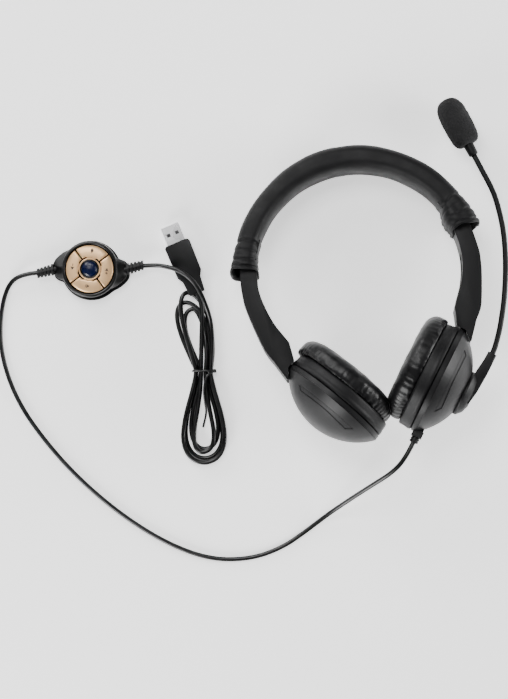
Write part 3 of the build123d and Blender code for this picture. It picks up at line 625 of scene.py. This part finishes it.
TIE_R = 0.72
TIE_HALF, TIE_LOW, TIE_HIGH = 6.9, 0.7, 7.2
TIE_TAIL = [
    (6.9, -0.4, 5.6),
    (3.0, -1.6, 7.4),
    (1.0, -7.0, 7.3),
    (0.4, -14.0, 7.0),
    (1.2, -21.0, 4.2),
    (2.0, -26.5, 0.9),
    (1.2, -31.0, 0.65),
    (-0.2, -36.7, 0.65),
]


def hank_tie():
    """The coated wire round the hank's waist, twisted at its end, with its tail lying in the lower loop."""
    loop = []
    for point, _ in crowned_loop(TIE_HALF, (TIE_HIGH - TIE_LOW) / 2, 3.2, 28):
        loop.append(place(HANK, point.x, 0.25 * math.sin(point.x), point.y + (TIE_HIGH + TIE_LOW) / 2))
    data = bpy.data.curves.new("hank_tie_wire", "CURVE")
    data.dimensions = "3D"
    data.bevel_depth = TIE_R * MM
    data.bevel_resolution = 4
    data.use_fill_caps = True
    runs = [(loop, True), ([place(HANK, *p) for p in TIE_TAIL], False)]
    knot = []
    for i in range(13):
        angle = TURN * i / 8
        knot.append(place(HANK, 7.0 + 0.09 * i, 0.6 * math.cos(angle), 5.0 + 0.6 * math.sin(angle)))
    runs.append((knot, False))
    for points, cyclic in runs:
        spline = data.splines.new("NURBS")
        spline.points.add(len(points) - 1)
        for target, point in zip(spline.points, points):
            target.co = (*point, 1)
        spline.order_u = 3
        spline.use_cyclic_u = cyclic
        spline.use_endpoint_u = not cyclic
    tie = bpy.data.objects.new("hank_tie_wire", data)
    bpy.context.scene.collection.objects.link(tie)
    return settle(tie, "right_cup", "tie_wire", "hank_tie")


hank_wire = hank_tie()


# Headband sleeve

SLEEVE_MID_R, SLEEVE_HALF_T, SLEEVE_HALF_W = 74.0, 7.55, 15.4
SLEEVE_AROUND, CUFF_RINGS, SPAN_RINGS, FINE_END = 88, 70, 90, 30
LINING_T = 1.3
MOUTH_ANGLE, MOUTH_DIP = 10.4, 2.1
CUFF_END = 27.0
CUFF_FOLDS = [(14.6, 0.5, 0.55), (18.6, 0.8, 0.7), (22.4, 0.6, 0.6), (26.6, 0.9, 0.8)]
CUFF_FLARE, MOUTH_FLARE, HEM, HEM_GROOVE = 0.9, 0.7, 0.65, 0.5
CROWN, WAVE, WAVE_SIZE = 0.7, 0.35, 13.0
SLEEVE_SQUARENESS, LINING_CLEAR = 3.3, 0.3
RIGHT_FLAP, LEFT_SLIM, TOP_SWELL = 3.2, 0.6, 0.8


def cuff_relief(angle, mouth, rho, w, seed):
    """How far the cuff's skin stands out, at an angle from the band's centre: its hem, folds and flare."""
    from_mouth = angle - mouth
    out = CUFF_FLARE * smooth((CUFF_END - angle) / 7.0) + MOUTH_FLARE * smooth((20.0 - angle) / 5.0)
    out += HEM * bump_at(from_mouth - 0.75, 0.6) - HEM_GROOVE * bump_at(from_mouth - 2.0, 0.35)
    for k, (spot, depth, width) in enumerate(CUFF_FOLDS):
        wander = 1.5 * ripple(rho, w, 9.0 * k + seed, 11.0)
        strength = 0.55 + 0.6 * ripple(rho, w, 40.0 + 9.0 * k + seed, 8.0)
        out -= depth * max(strength, 0.1) * bump_at(angle - spot - wander, width)
        out += 0.4 * depth * max(strength, 0.1) * bump_at(angle - spot - wander - 1.3, width)
    return out


def sleeve_skin(angle, rho, w, outward, lining=False):
    """A point of the sleeve's skin at a nominal angle; the lining has no inward folds."""
    right = angle < 90
    near = angle if right else 180 - angle
    seed = 3.0 if right else 71.0
    dip = MOUTH_DIP * smooth((w / SLEEVE_HALF_W - 0.2) / 0.7)
    if right:
        dip *= 1 - 0.9 * smooth(rho / SLEEVE_HALF_T + 0.4)
    dip += 0.6 * smooth(rho / SLEEVE_HALF_T) + 0.5 * ripple(rho, w, seed, 6.0)
    near += dip * smooth((CUFF_END - near) / (CUFF_END - MOUTH_ANGLE))
    mouth = MOUTH_ANGLE + dip
    out = WAVE * ripple(near, rho, w + seed, WAVE_SIZE)
    crown = CROWN * (1 - (w / SLEEVE_HALF_W) ** 2) * (1 if rho > 0 else 0.5)
    out += crown * smooth((near - 22) / 20)
    inner, outer = smooth(-rho / SLEEVE_HALF_T), smooth(rho / SLEEVE_HALF_T)
    if right:
        out += RIGHT_FLAP * inner * bump_at(near - 19, 6.5)
    else:
        out -= LEFT_SLIM * outer * smooth((70 - near) / 20)
    out += TOP_SWELL * outer * smooth((near - 55) / 25)
    out = mix(out, max(out, 0.0), smooth((near - CUFF_END) / 8))
    if near < CUFF_END + 4:
        out += cuff_relief(near, mouth, rho, w, seed)
    if lining:
        out = max(out, LINING_CLEAR)
    across = rho + out * outward.x
    along = w + out * outward.y
    actual = math.radians(near if right else 180 - near)
    radius = SLEEVE_MID_R + across
    return place(BAND, radius * math.cos(actual), radius * math.sin(actual), along)


def sleeve_angles():
    """The nominal angles of the sleeve's rings, close together at the cuffs."""
    cuff = [mix(MOUTH_ANGLE, FINE_END, i / CUFF_RINGS) for i in range(CUFF_RINGS)]
    span = [FINE_END + (180 - 2 * FINE_END) * i / SPAN_RINGS for i in range(SPAN_RINGS + 1)]
    return cuff + span + [180 - angle for angle in reversed(cuff)]


def headband_sleeve():
    """The padded sleeve as one closed skin: outside, rolled lips at its two mouths, and a lining."""
    loop = crowned_loop(SLEEVE_HALF_T, SLEEVE_HALF_W, SLEEVE_SQUARENESS, SLEEVE_AROUND)
    angles = sleeve_angles()
    outer = [[sleeve_skin(a, p.x, p.y, n) for p, n in loop] for a in angles]
    lining = []
    for a in reversed(angles[::3]):
        ring = []
        for p, n in loop:
            inner = p - n * LINING_T
            ring.append(sleeve_skin(a, inner.x, inner.y, n, lining=True))
        lining.append(ring)
    return loft("headband_sleeve_leather", outer + lining, closed=True)


FOAM_SLIM = (0.92, 0.95)


def foam_core():
    """The foam inside the sleeve, drawn in a little so that the leather lies over it everywhere."""
    core = softened("headband_foam", "headband_foam_core", 0.05)
    into_band = BAND.inverted()
    for vertex in core.data.vertices:
        local = into_band @ vertex.co
        reach = local.xy.length
        slim = SLEEVE_MID_R * MM + (reach - SLEEVE_MID_R * MM) * FOAM_SLIM[0]
        vertex.co = BAND @ Vector((local.x * slim / reach, local.y * slim / reach, local.z * FOAM_SLIM[1]))
    return core


def build_sleeve():
    sleeve = settle(headband_sleeve(), "headband", "sleeve_leatherette", "headband_sleeve")
    core = settle(foam_core(), "headband", "pad_foam", "headband_foam")


build_sleeve()


# Ear cushions

PAD_AROUND, PAD_SECTION = 200, 52
PAD_PROFILE = [
    (14.6, 9.7),
    (18.5, 9.6),
    (24.0, 9.6),
    (29.0, 9.6),
    (31.7, 9.4),
    (34.2, 8.2),
    (35.6, 10.4),
    (36.0, 13.4),
    (35.4, 16.8),
    (33.0, 19.8),
    (29.0, 21.8),
    (24.0, 22.4),
    (19.6, 21.5),
    (16.3, 18.7),
    (14.8, 15.0),
    (14.5, 12.0),
]
PAD_SHIFT = 1.7
PAD_LIFT = 0.8
SEAM_R, HELD_BELOW = 31.6, 10.0


def inflate(piece, pinned, lift, steps=20):
    """Swells a closed skin by cloth simulation, with some points held, and caps each point's move."""
    start = [vertex.co.copy() for vertex in piece.data.vertices]
    group = piece.vertex_groups.new(name="held")
    group.add(pinned, 1.0, "REPLACE")
    cloth = piece.modifiers.new("Cloth", "CLOTH")
    settings = cloth.settings
    settings.quality = 5
    settings.mass = 0.15
    settings.use_pressure = True
    settings.uniform_pressure_force = 4
    settings.tension_stiffness = 20
    settings.compression_stiffness = 20
    settings.bending_stiffness = 0.05
    settings.shrink_min = -0.05
    settings.shrink_max = -0.05
    settings.vertex_group_mass = "held"
    settings.effector_weights.gravity = 0
    cloth.collision_settings.use_collision = False
    scene = bpy.context.scene
    for step in range(1, steps + 1):
        scene.frame_set(step)
    graph = bpy.context.evaluated_depsgraph_get()
    shaped = bpy.data.meshes.new_from_object(piece.evaluated_get(graph))
    moved = [vertex.co.copy() for vertex in shaped.vertices]
    bpy.data.meshes.remove(shaped)
    piece.modifiers.clear()
    piece.vertex_groups.clear()
    scene.frame_set(1)
    for vertex, before, after in zip(piece.data.vertices, start, moved):
        move = after - before
        if move.length > lift * MM:
            move *= lift * MM / move.length
        vertex.co = before + move


GATHERS, GATHER_DEPTH, FACE_WAVE = 52, 0.5, 0.15
PAD_MIDDLE = (24.0, 14.5)


def pad_point(r, z, angle):
    """A point of the cushion's skin before it is blown up, gathered towards its outer seam."""
    wave = 0.5 * math.sin(GATHERS * angle + 5 * noise.noise(Vector((3 * angle, 0, 0))))
    wave += 0.5 * noise.noise(Vector((22 * math.cos(angle), 22 * math.sin(angle), 0.12 * z)))
    low = 0.35 + 0.65 * smooth((-math.sin(angle) + 0.1) / 1.0)
    side = bump_at(r - 35.2, 2.2) * smooth((20.5 - z) / 7)
    face = FACE_WAVE * noise.noise(Vector((r * math.cos(angle) / 7, r * math.sin(angle) / 7, z / 9)))
    swell = GATHER_DEPTH * wave * low * side + face
    outward = (Vector((r, z)) - Vector(PAD_MIDDLE)).normalized()
    r += swell * outward.x
    z += swell * outward.y
    shift = PAD_SHIFT * smooth((r - 20) / 12)
    return place(CUP, r * math.cos(angle), r * math.sin(angle) + shift, z)


def ear_pad():
    """The right ear cushion: a ring of soft skin, gathered at its seam and blown up between its seams."""
    profile = flow(PAD_PROFILE, PAD_SECTION)
    rings = []
    for i in range(PAD_AROUND):
        angle = TURN * i / PAD_AROUND
        rings.append([pad_point(p.x, p.y, angle) for p in profile])
    pad = loft("ear_pad_leather_right", rings, closed=True)
    pinned = []
    for index in range(PAD_AROUND * PAD_SECTION):
        p = profile[index % PAD_SECTION]
        if p.y < HELD_BELOW and p.x < SEAM_R + 0.5:
            pinned.append(index)
    inflate(pad, pinned, PAD_LIFT)
    shape_contact(pad)
    return pad


CONTACT_GAP = 0.25
PAD_LOWEST, PAD_SINK = 8.0, 9.45


def shape_contact(pad):
    """Keeps a cushion on its own side of the middle plane, where the two cushions press on each other."""
    into_cup = CUP.inverted()
    for vertex in pad.data.vertices:
        local = into_cup @ vertex.co
        local.z = max(local.z, PAD_LOWEST * MM)
        if local.xy.length < SEAM_R * MM:
            local.z = max(local.z, PAD_SINK * MM)
        vertex.co = CUP @ local
        vertex.co.x = max(vertex.co.x, MIDDLE_X + CONTACT_GAP * MM)
        vertex.co.z = max(vertex.co.z, CONTACT_GAP * MM)


BAFFLE_PROFILE = [
    (20.3, 0.45), (32.5, 0.45), (32.5, -1.6), (33.6, -1.6), (33.6, -0.34), (34.9, -0.34), (34.9, 0.45),
    (35.3, 0.45), (35.65, 0.8), (35.7, 2.6), (35.45, 3.3), (35.25, 4.6), (35.1, 7.4), (34.7, 8.5),
    (33.8, 8.8), (29.5, 8.8), (29.5, 2.4), (20.3, 2.4),
]


def build_baffles():
    """The plates that carry the cushions: each a shallow ring whose wall stands level with the shell."""
    right = turned_piece("baffle_plate_right", CUP, BAFFLE_PROFILE, 160)
    left = mirror_copy(right, "baffle_plate_left")
    for plate, side in ((right, "right"), (left, "left")):
        settle(plate, side + "_cup", "inner_plastic", "baffle_" + side)


LEFT_RISE, RISE_OVER = 1.2, 24


def slide_up(pad):
    """Moves the upper half of the left cushion a little towards its arm."""
    up = CUP.to_3x3() @ Vector((0, 1, 0))
    up.x = -up.x
    centre = CUP.translation.copy()
    centre.x = 2 * MIDDLE_X - centre.x
    for vertex in pad.data.vertices:
        height = (vertex.co - centre).dot(up) / MM
        vertex.co += up * LEFT_RISE * MM * smooth(height / RISE_OVER)


def build_pads():
    right = ear_pad()
    left = mirror_copy(right, "ear_pad_leather_left")
    slide_up(left)
    for pad, side in ((right, "right"), (left, "left")):
        round_out = pad.modifiers.new("Round", "SUBSURF")
        round_out.levels = 1
        round_out.render_levels = 1
        apply_modifiers(pad)
        settle(pad, side + "_cup", "pad_leatherette", "ear_pad_" + side)


build_pads()
build_baffles()


# Arms

ARM_EDGE = 0.7
ARM_SLIDING_FULLNESS, ARM_FULLNESS = 0.7, 1.6
ARM_OUTWARD = {"right": 0.9, "left": -0.3}


def build_arms():
    into_band = BAND.inverted()
    for side in ("right", "left"):
        arm = softened("arm_" + side, "arm_body_" + side, ARM_EDGE)
        outward = ARM_OUTWARD[side]
        for vertex in arm.data.vertices:
            local = into_band @ vertex.co
            reach = local.xy.length
            share = smooth((reach / MM - 63) / 4) * smooth(local.y / MM / 14 + 3.6)
            below = smooth((8 - local.y / MM) / 24)
            side_share = min(max((reach / MM - SLEEVE_MID_R) / 3, -1), 1)
            growth = side_share * mix(ARM_SLIDING_FULLNESS, ARM_FULLNESS, below) + outward * below
            grown = local.xy * (1 + share * growth * MM / reach)
            vertex.co = BAND @ Vector((grown.x, grown.y, local.z))
        settle(arm, "arm_" + side, "arm_plastic", "arm_" + side)


build_arms()


# Boom: hub, gooseneck and windscreen

HUB_EDGE, HUB_SEAT = 0.5, -19.55


def boom_hub():
    """The hub with soft edges, seated close on the cup."""
    hub = softened("boom_hub", "boom_hub_mould", HUB_EDGE)
    into_cup = CUP.inverted()
    for vertex in hub.data.vertices:
        local = into_cup @ vertex.co
        if local.z > -19.8 * MM and local.xy.length > 8 * MM:
            local.z = HUB_SEAT * MM
            vertex.co = CUP @ local
    settle(hub, "mic_boom", "inner_plastic", "boom_hub")


boom_hub()


NECK_SKIN, COLLAR_SLIM, COLLAR_START = 0.2, 0.86, -1.0
FOAM_START, FOAM_SIDE, FOAM_GROWTH = 7.8, 0.3, 1.05
FOAM_PROFILE = [
    (4.4, 0.0),
    (6.3, 0.5),
    (7.9, 2.6),
    (8.6, 6.0),
    (8.95, 11.0),
    (9.0, 16.0),
    (8.9, 21.5),
    (8.5, 25.6),
    (7.2, 29.4),
    (4.9, 31.9),
    (2.2, 32.9),
    (0.25, 33.0),
]
FOAM_AROUND, FOAM_RINGS, CELL_SIZE = 168, 104, 0.75


NECK_TIP = Vector((88.2, 60.3, 0))
NECK_WAY = (NECK_TIP - Vector((91.0, 50.0, 0))).normalized()


def tip_frame(side_step):
    """The frame at the gooseneck's end, with Z along the microphone."""
    seat = NECK_TIP + Vector((side_step, 0, 0))
    return BAND @ frame_matrix(seat * MM, UP, NECK_WAY.cross(UP), NECK_WAY)


def gooseneck_skin():
    """The gooseneck with its rubber skin."""
    neck = softened("gooseneck", "gooseneck_skin", 0.05)
    for vertex in neck.data.vertices:
        vertex.co += vertex.normal * NECK_SKIN * MM
    settle(neck, "mic_boom", "neck_rubber", "gooseneck")


def mic_collar():
    """The microphone's collar, drawn in round its bore."""
    piece = softened("mic_collar", "mic_collar_mould", 0.3)
    seat = tip_frame(0.0)
    into = seat.inverted()
    for vertex in piece.data.vertices:
        local = into @ vertex.co
        shrink = COLLAR_SLIM if local.xy.length > 2.5 * MM else 1.0
        vertex.co = seat @ Vector((local.x * shrink, local.y * shrink, max(local.z, COLLAR_START * MM)))
    settle(piece, "mic_boom", "inner_plastic", "mic_collar")


def windscreen():
    """The foam windscreen: an open-celled surface that closes on the collar."""
    local = tip_frame(FOAM_SIDE)
    rings = []
    for p in flow(FOAM_PROFILE, FOAM_RINGS, closed=False):
        ring = []
        for j in range(FOAM_AROUND):
            angle = TURN * j / FOAM_AROUND
            x, y = p.x * math.cos(angle), p.x * math.sin(angle)
            cells = noise.cell(Vector((x, y, p.y)) / CELL_SIZE) if p.x > 1 else 0.5
            pores = 0.16 * (cells - 0.5) + 0.16 * ripple(x, y, p.y, 0.9) + 0.12 * ripple(x, y, p.y, 4.0)
            r = max(p.x * FOAM_GROWTH + pores, 0.05)
            ring.append(place(local, r * math.cos(angle), r * math.sin(angle), FOAM_START + p.y))
        rings.append(ring)
    foam = loft("windscreen_foam", rings)
    settle(foam, "mic_boom", "wind_foam", "windscreen")


gooseneck_skin()
mic_collar()
windscreen()


# Remote

CASE_AROUND = 180
CASE_CORNERS = [
    (17.6, 6.6), (23.0, 3.4), (24.2, -4.2), (23.2, -7.4), (20.0, -10.4), (13.5, -14.4), (6.4, -17.6),
]
CASE_R = 18.8
TRAY_GROWTH, TRAY_SHIFT = 1.03, (0.5, -0.9)
LOBE_Z = 9.9
WELL_R = 16.05


def lobe_reach(angle):
    """How far the case reaches in a direction; its two pointed sides match after half a turn."""
    way = Vector((math.cos(angle), math.sin(angle)))
    if way.x < 0:
        way.negate()
    best = CASE_R
    for start, end in zip(CASE_CORNERS, CASE_CORNERS[1:]):
        a, side = Vector(start), Vector(end) - Vector(start)
        facing = way.cross(side)
        if 0 <= -way.cross(a) / facing <= 1:
            best = max(best, a.cross(side) / facing)
    return best


def case_outline():
    """The case's outline as a distance for each direction, softened at its corners."""
    raw = [lobe_reach(TURN * i / CASE_AROUND) for i in range(CASE_AROUND)]
    for _ in range(3):
        raw = [(raw[i - 1] + raw[i] + raw[(i + 1) % CASE_AROUND]) / 3 for i in range(CASE_AROUND)]
    return raw


def case_level(i, r, z):
    """One point of the case at a direction's number."""
    angle = TURN * i / CASE_AROUND
    return place(REMOTE, r * math.cos(angle), r * math.sin(angle), z)


def case_rings(levels):
    """The rings of a case half: each level is its distance, what it is pulled in by, and its height."""
    outline = case_outline()
    rings = []
    for reach, pull, z in levels:
        ring = []
        for i in range(CASE_AROUND):
            share = smooth((outline[i] - CASE_R) / 2.0)
            r = reach if pull is None else mix(reach, outline[i], share) - pull
            top = z if pull is None else min(z, mix(z, LOBE_Z - 0.35 * max(outline[i] - 20, 0), share))
            ring.append(case_level(i, r, top))
        rings.append(ring)
    return rings


def remote_case():
    """The remote's case: a shallow tray, and a top with a raised ring round the keys."""
    low = case_rings([
        (0.3, None, 1.6), (15.0, None, 1.6), (15.0, None, 6.4), (CASE_R, 1.2, 6.4), (CASE_R, 0.5, 6.35),
        (CASE_R, 0.12, 6.1), (CASE_R, 0.0, 5.6), (CASE_R, 0.0, 3.5), (CASE_R, 0.1, 1.3),
        (CASE_R, 0.55, 0.45), (16.0, 1.6, 0.0), (0.3, None, 0.0),
    ])
    tray = loft("remote_tray", low)
    centre = REMOTE.translation
    for vertex in tray.data.vertices:
        away = (vertex.co.xy - centre.xy) * TRAY_GROWTH
        share = smooth(away.length / MM / 4 - 3.5)
        vertex.co.x = mix(vertex.co.x, centre.x + away.x + TRAY_SHIFT[0] * MM, share)
        vertex.co.y = mix(vertex.co.y, centre.y + away.y + TRAY_SHIFT[1] * MM, share)
    settle(tray, "right_cup", "remote_plastic", "remote_bottom")
    high = case_rings([
        (15.8, None, 6.5), (CASE_R, 1.4, 6.5), (CASE_R, 0.6, 6.55), (CASE_R, 0.3, 6.9), (CASE_R, 0.35, 8.0),
        (CASE_R, 0.6, 9.3),
    ])
    rim = [
        (18.3, 10.4), (18.1, 11.5), (17.6, 12.15), (16.9, 12.35), (16.3, 12.2), (WELL_R, 11.8),
        (WELL_R, 9.2), (13.6, 9.2), (13.6, 8.3), (15.8, 8.3),
    ]
    for r, z in rim:
        high.append([case_level(i, r, z) for i in range(CASE_AROUND)])
    top = loft("remote_cover", high, closed=True)
    settle(top, "right_cup", "remote_plastic", "remote_top")
    collar = [(5.25, 8.3), (9.4, 8.3), (9.4, 9.15), (6.1, 9.2)]
    collar += [(6.05, 13.0), (5.9, 13.3), (5.4, 13.3), (5.25, 13.0)]
    settle(turned_piece("lens_collar", REMOTE, collar, 96), "right_cup", "remote_plastic")
    hub = [(6.15, 9.25), (7.15, 9.25), (7.15, 12.7), (7.0, 13.0), (6.7, 13.12)]
    hub += [(6.3, 13.05), (6.15, 12.8)]
    settle(turned_piece("hub_ring", REMOTE, hub, 96), "right_cup", "key_gold", "key_hub")


KEY_NAMES = ["microphone_key", "volume_up_key", "speaker_key", "volume_down_key"]
KEY_TURN, KEY_OUT_R, KEY_IN_R, KEY_GAP = -12.5, 15.3, 8.15, 1.0
KEY_PROFILE = [
    (0.0, 10.45), (1.0, 10.45), (1.0, 11.7), (0.96, 12.15), (0.88, 12.5), (0.7, 12.86), (0.45, 13.05),
    (0.15, 13.12), (0.04, 13.05), (0.0, 12.85),
]
KEY_STEPS = 30
SIGN_SCALE, SIGN_R, SIGN_Z = 1.6, 11.1, (12.95, 13.2)


def key_cap(name, facing):
    """One quarter key with a rolled outer edge; its inner edge reaches the collar except near the slits."""
    rings = []
    for i in range(KEY_STEPS + 1):
        t = 2 * i / KEY_STEPS - 1
        section = []
        for share, z in KEY_PROFILE:
            inner = KEY_IN_R - 0.75 * smooth((0.56 - abs(t)) / 0.06)
            r = mix(inner, KEY_OUT_R, share)
            half = math.pi / 4 - math.asin(KEY_GAP / 2 / r)
            angle = facing + t * half
            drop = 0.25 * bump_at(1 - abs(t), 0.03) if z > 12 else 0
            section.append(place(REMOTE, r * math.cos(angle), r * math.sin(angle), z - drop))
        rings.append(section)
    cap = loft(name + "_cap", rings)
    return cap


def flat_icon(name, facing, outlines):
    """A thin printed sign on a key, from outlines of distance along and across the key's own direction."""
    verts, faces = [], []
    for outline in outlines:
        start, count = len(verts), len(outline)
        for z in SIGN_Z:
            for across, along in outline:
                r = SIGN_R + along * SIGN_SCALE
                x = r * math.cos(facing) + across * SIGN_SCALE * math.sin(facing)
                y = r * math.sin(facing) - across * SIGN_SCALE * math.cos(facing)
                verts.append(place(REMOTE, x, y, z))
        faces.append(tuple(start + i for i in reversed(range(count))))
        faces.append(tuple(start + count + i for i in range(count)))
        for i in range(count):
            k = (i + 1) % count
            faces.append((start + i, start + k, start + count + k, start + count + i))
    return add_mesh(name, verts, faces, False)


def bar(x0, x1, y0, y1):
    return [(x0, y0), (x1, y0), (x1, y1), (x0, y1)]


ICONS = {
    "microphone_key": [
        [(-0.45, 0.0), (0.45, 0.0), (0.5, 0.9), (0.28, 1.3), (-0.28, 1.3), (-0.5, 0.9)],
        bar(-0.12, 0.12, -0.5, 0.0),
    ],
    "volume_up_key": [
        [(-1.1, -0.3), (-0.7, -0.3), (-0.1, -0.8), (-0.1, 0.8), (-0.7, 0.3), (-1.1, 0.3)],
        bar(0.25, 1.25, -0.12, 0.12),
        bar(0.63, 0.87, -0.5, -0.12),
        bar(0.63, 0.87, 0.12, 0.5),
    ],
    "speaker_key": [
        [(-0.7, -0.3), (-0.3, -0.3), (0.3, -0.8), (0.3, 0.8), (-0.3, 0.3), (-0.7, 0.3)],
        bar(0.55, 0.75, -0.5, 0.5),
    ],
    "volume_down_key": [
        [(-1.1, -0.3), (-0.7, -0.3), (-0.1, -0.8), (-0.1, 0.8), (-0.7, 0.3), (-1.1, 0.3)],
        bar(0.25, 1.25, -0.12, 0.12),
    ],
}


def build_keys():
    for index, name in enumerate(KEY_NAMES):
        facing = math.radians(90 - 90 * index + KEY_TURN)
        settle(key_cap(name, facing), name, "key_gold", name)
        icon = flat_icon(name + "_sign", facing, ICONS[name])
        icon.data.materials.append(MARK_INK)
        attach(icon, name)


JEWEL_FACETS = 12


def jewel():
    """The blue lens: a low faceted dome."""
    levels = [(0.0, 0.02, 14.45), (2.1, 0.0, 14.25), (3.7, 0.5, 13.85), (5.1, 0.0, 12.95)]
    levels += [(5.15, 0.0, 8.7), (3.1, 0.0, 6.0)]
    rings = []
    for r, twist, z in levels:
        ring = []
        for i in range(JEWEL_FACETS):
            angle = TURN * (i + twist) / JEWEL_FACETS
            ring.append(place(REMOTE, max(r, 0.05) * math.cos(angle), max(r, 0.05) * math.sin(angle), z))
        rings.append(ring)
    lens = loft("status_jewel", rings, smooth_faces=False)
    settle(lens, "right_cup", "lens_blue", "status_lens")


BOOT_RINGS, BOOT_AROUND, BOOT_Z = 5, 40, 6.2
BOOT_START, BOOT_END, BOOT_LEAN = 23.0, 34.6, 0.17


def boot(name, matrix, replaced):
    """A ribbed strain relief on the lead: stiff rings on a thin taper, running along the frame's X axis."""
    profile = [(0.05, 20.5), (2.9, 20.5), (2.9, BOOT_START)]
    pitch = (BOOT_END - BOOT_START) / BOOT_RINGS
    for i in range(BOOT_RINGS):
        start, high = BOOT_START + i * pitch, 3.75 - 0.16 * i
        profile += [(2.5, start + 0.1), (2.5, start + 0.3 * pitch), (high, start + 0.34 * pitch)]
        profile += [(high + 0.05, start + 0.65 * pitch), (high, start + 0.94 * pitch)]
    profile += [(2.0, BOOT_END), (0.05, BOOT_END)]
    rings = []
    for r, x in profile:
        ring = []
        for j in range(BOOT_AROUND):
            angle = TURN * j / BOOT_AROUND
            y = r * math.cos(angle) - BOOT_LEAN * (BOOT_END - x)
            ring.append(place(matrix, x, y, BOOT_Z + r * math.sin(angle)))
        rings.append(ring)
    piece = loft(name, rings)
    crease(piece)
    settle(piece, "right_cup", "boot_rubber", replaced)


def crease(piece, angle=35):
    """Keeps a piece's sharp edges sharp in its shading."""
    piece.data.set_sharp_from_angle(angle=math.radians(angle))


remote_case()
build_keys()
jewel()
BACK = Matrix.Rotation(math.pi, 4, "Z")
boot("boot_plug_side", REMOTE, "remote_boot_out")
boot("boot_cup_side", REMOTE @ BACK, "remote_boot_in")


# USB plug

GRIP_EDGE = 0.9
grip = softened("usb_grip", "usb_grip_mould", GRIP_EDGE)
settle(grip, "right_cup", "boot_rubber", "usb_grip")


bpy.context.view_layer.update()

REMOTE_PARTS = [frame["nodes"][name] for name in ("remote_screws", "remote_board", "key_switches")]
REMOTE_LOOKS = ["remote_tray", "remote_cover", "lens_collar", "hub_ring", "status_jewel", "boot_cup_side"]
REMOTE_LOOKS += [name + part for name in KEY_NAMES for part in ("_cap", "_sign")]
REMOTE_PARTS += [bpy.data.objects[name] for name in REMOTE_LOOKS]
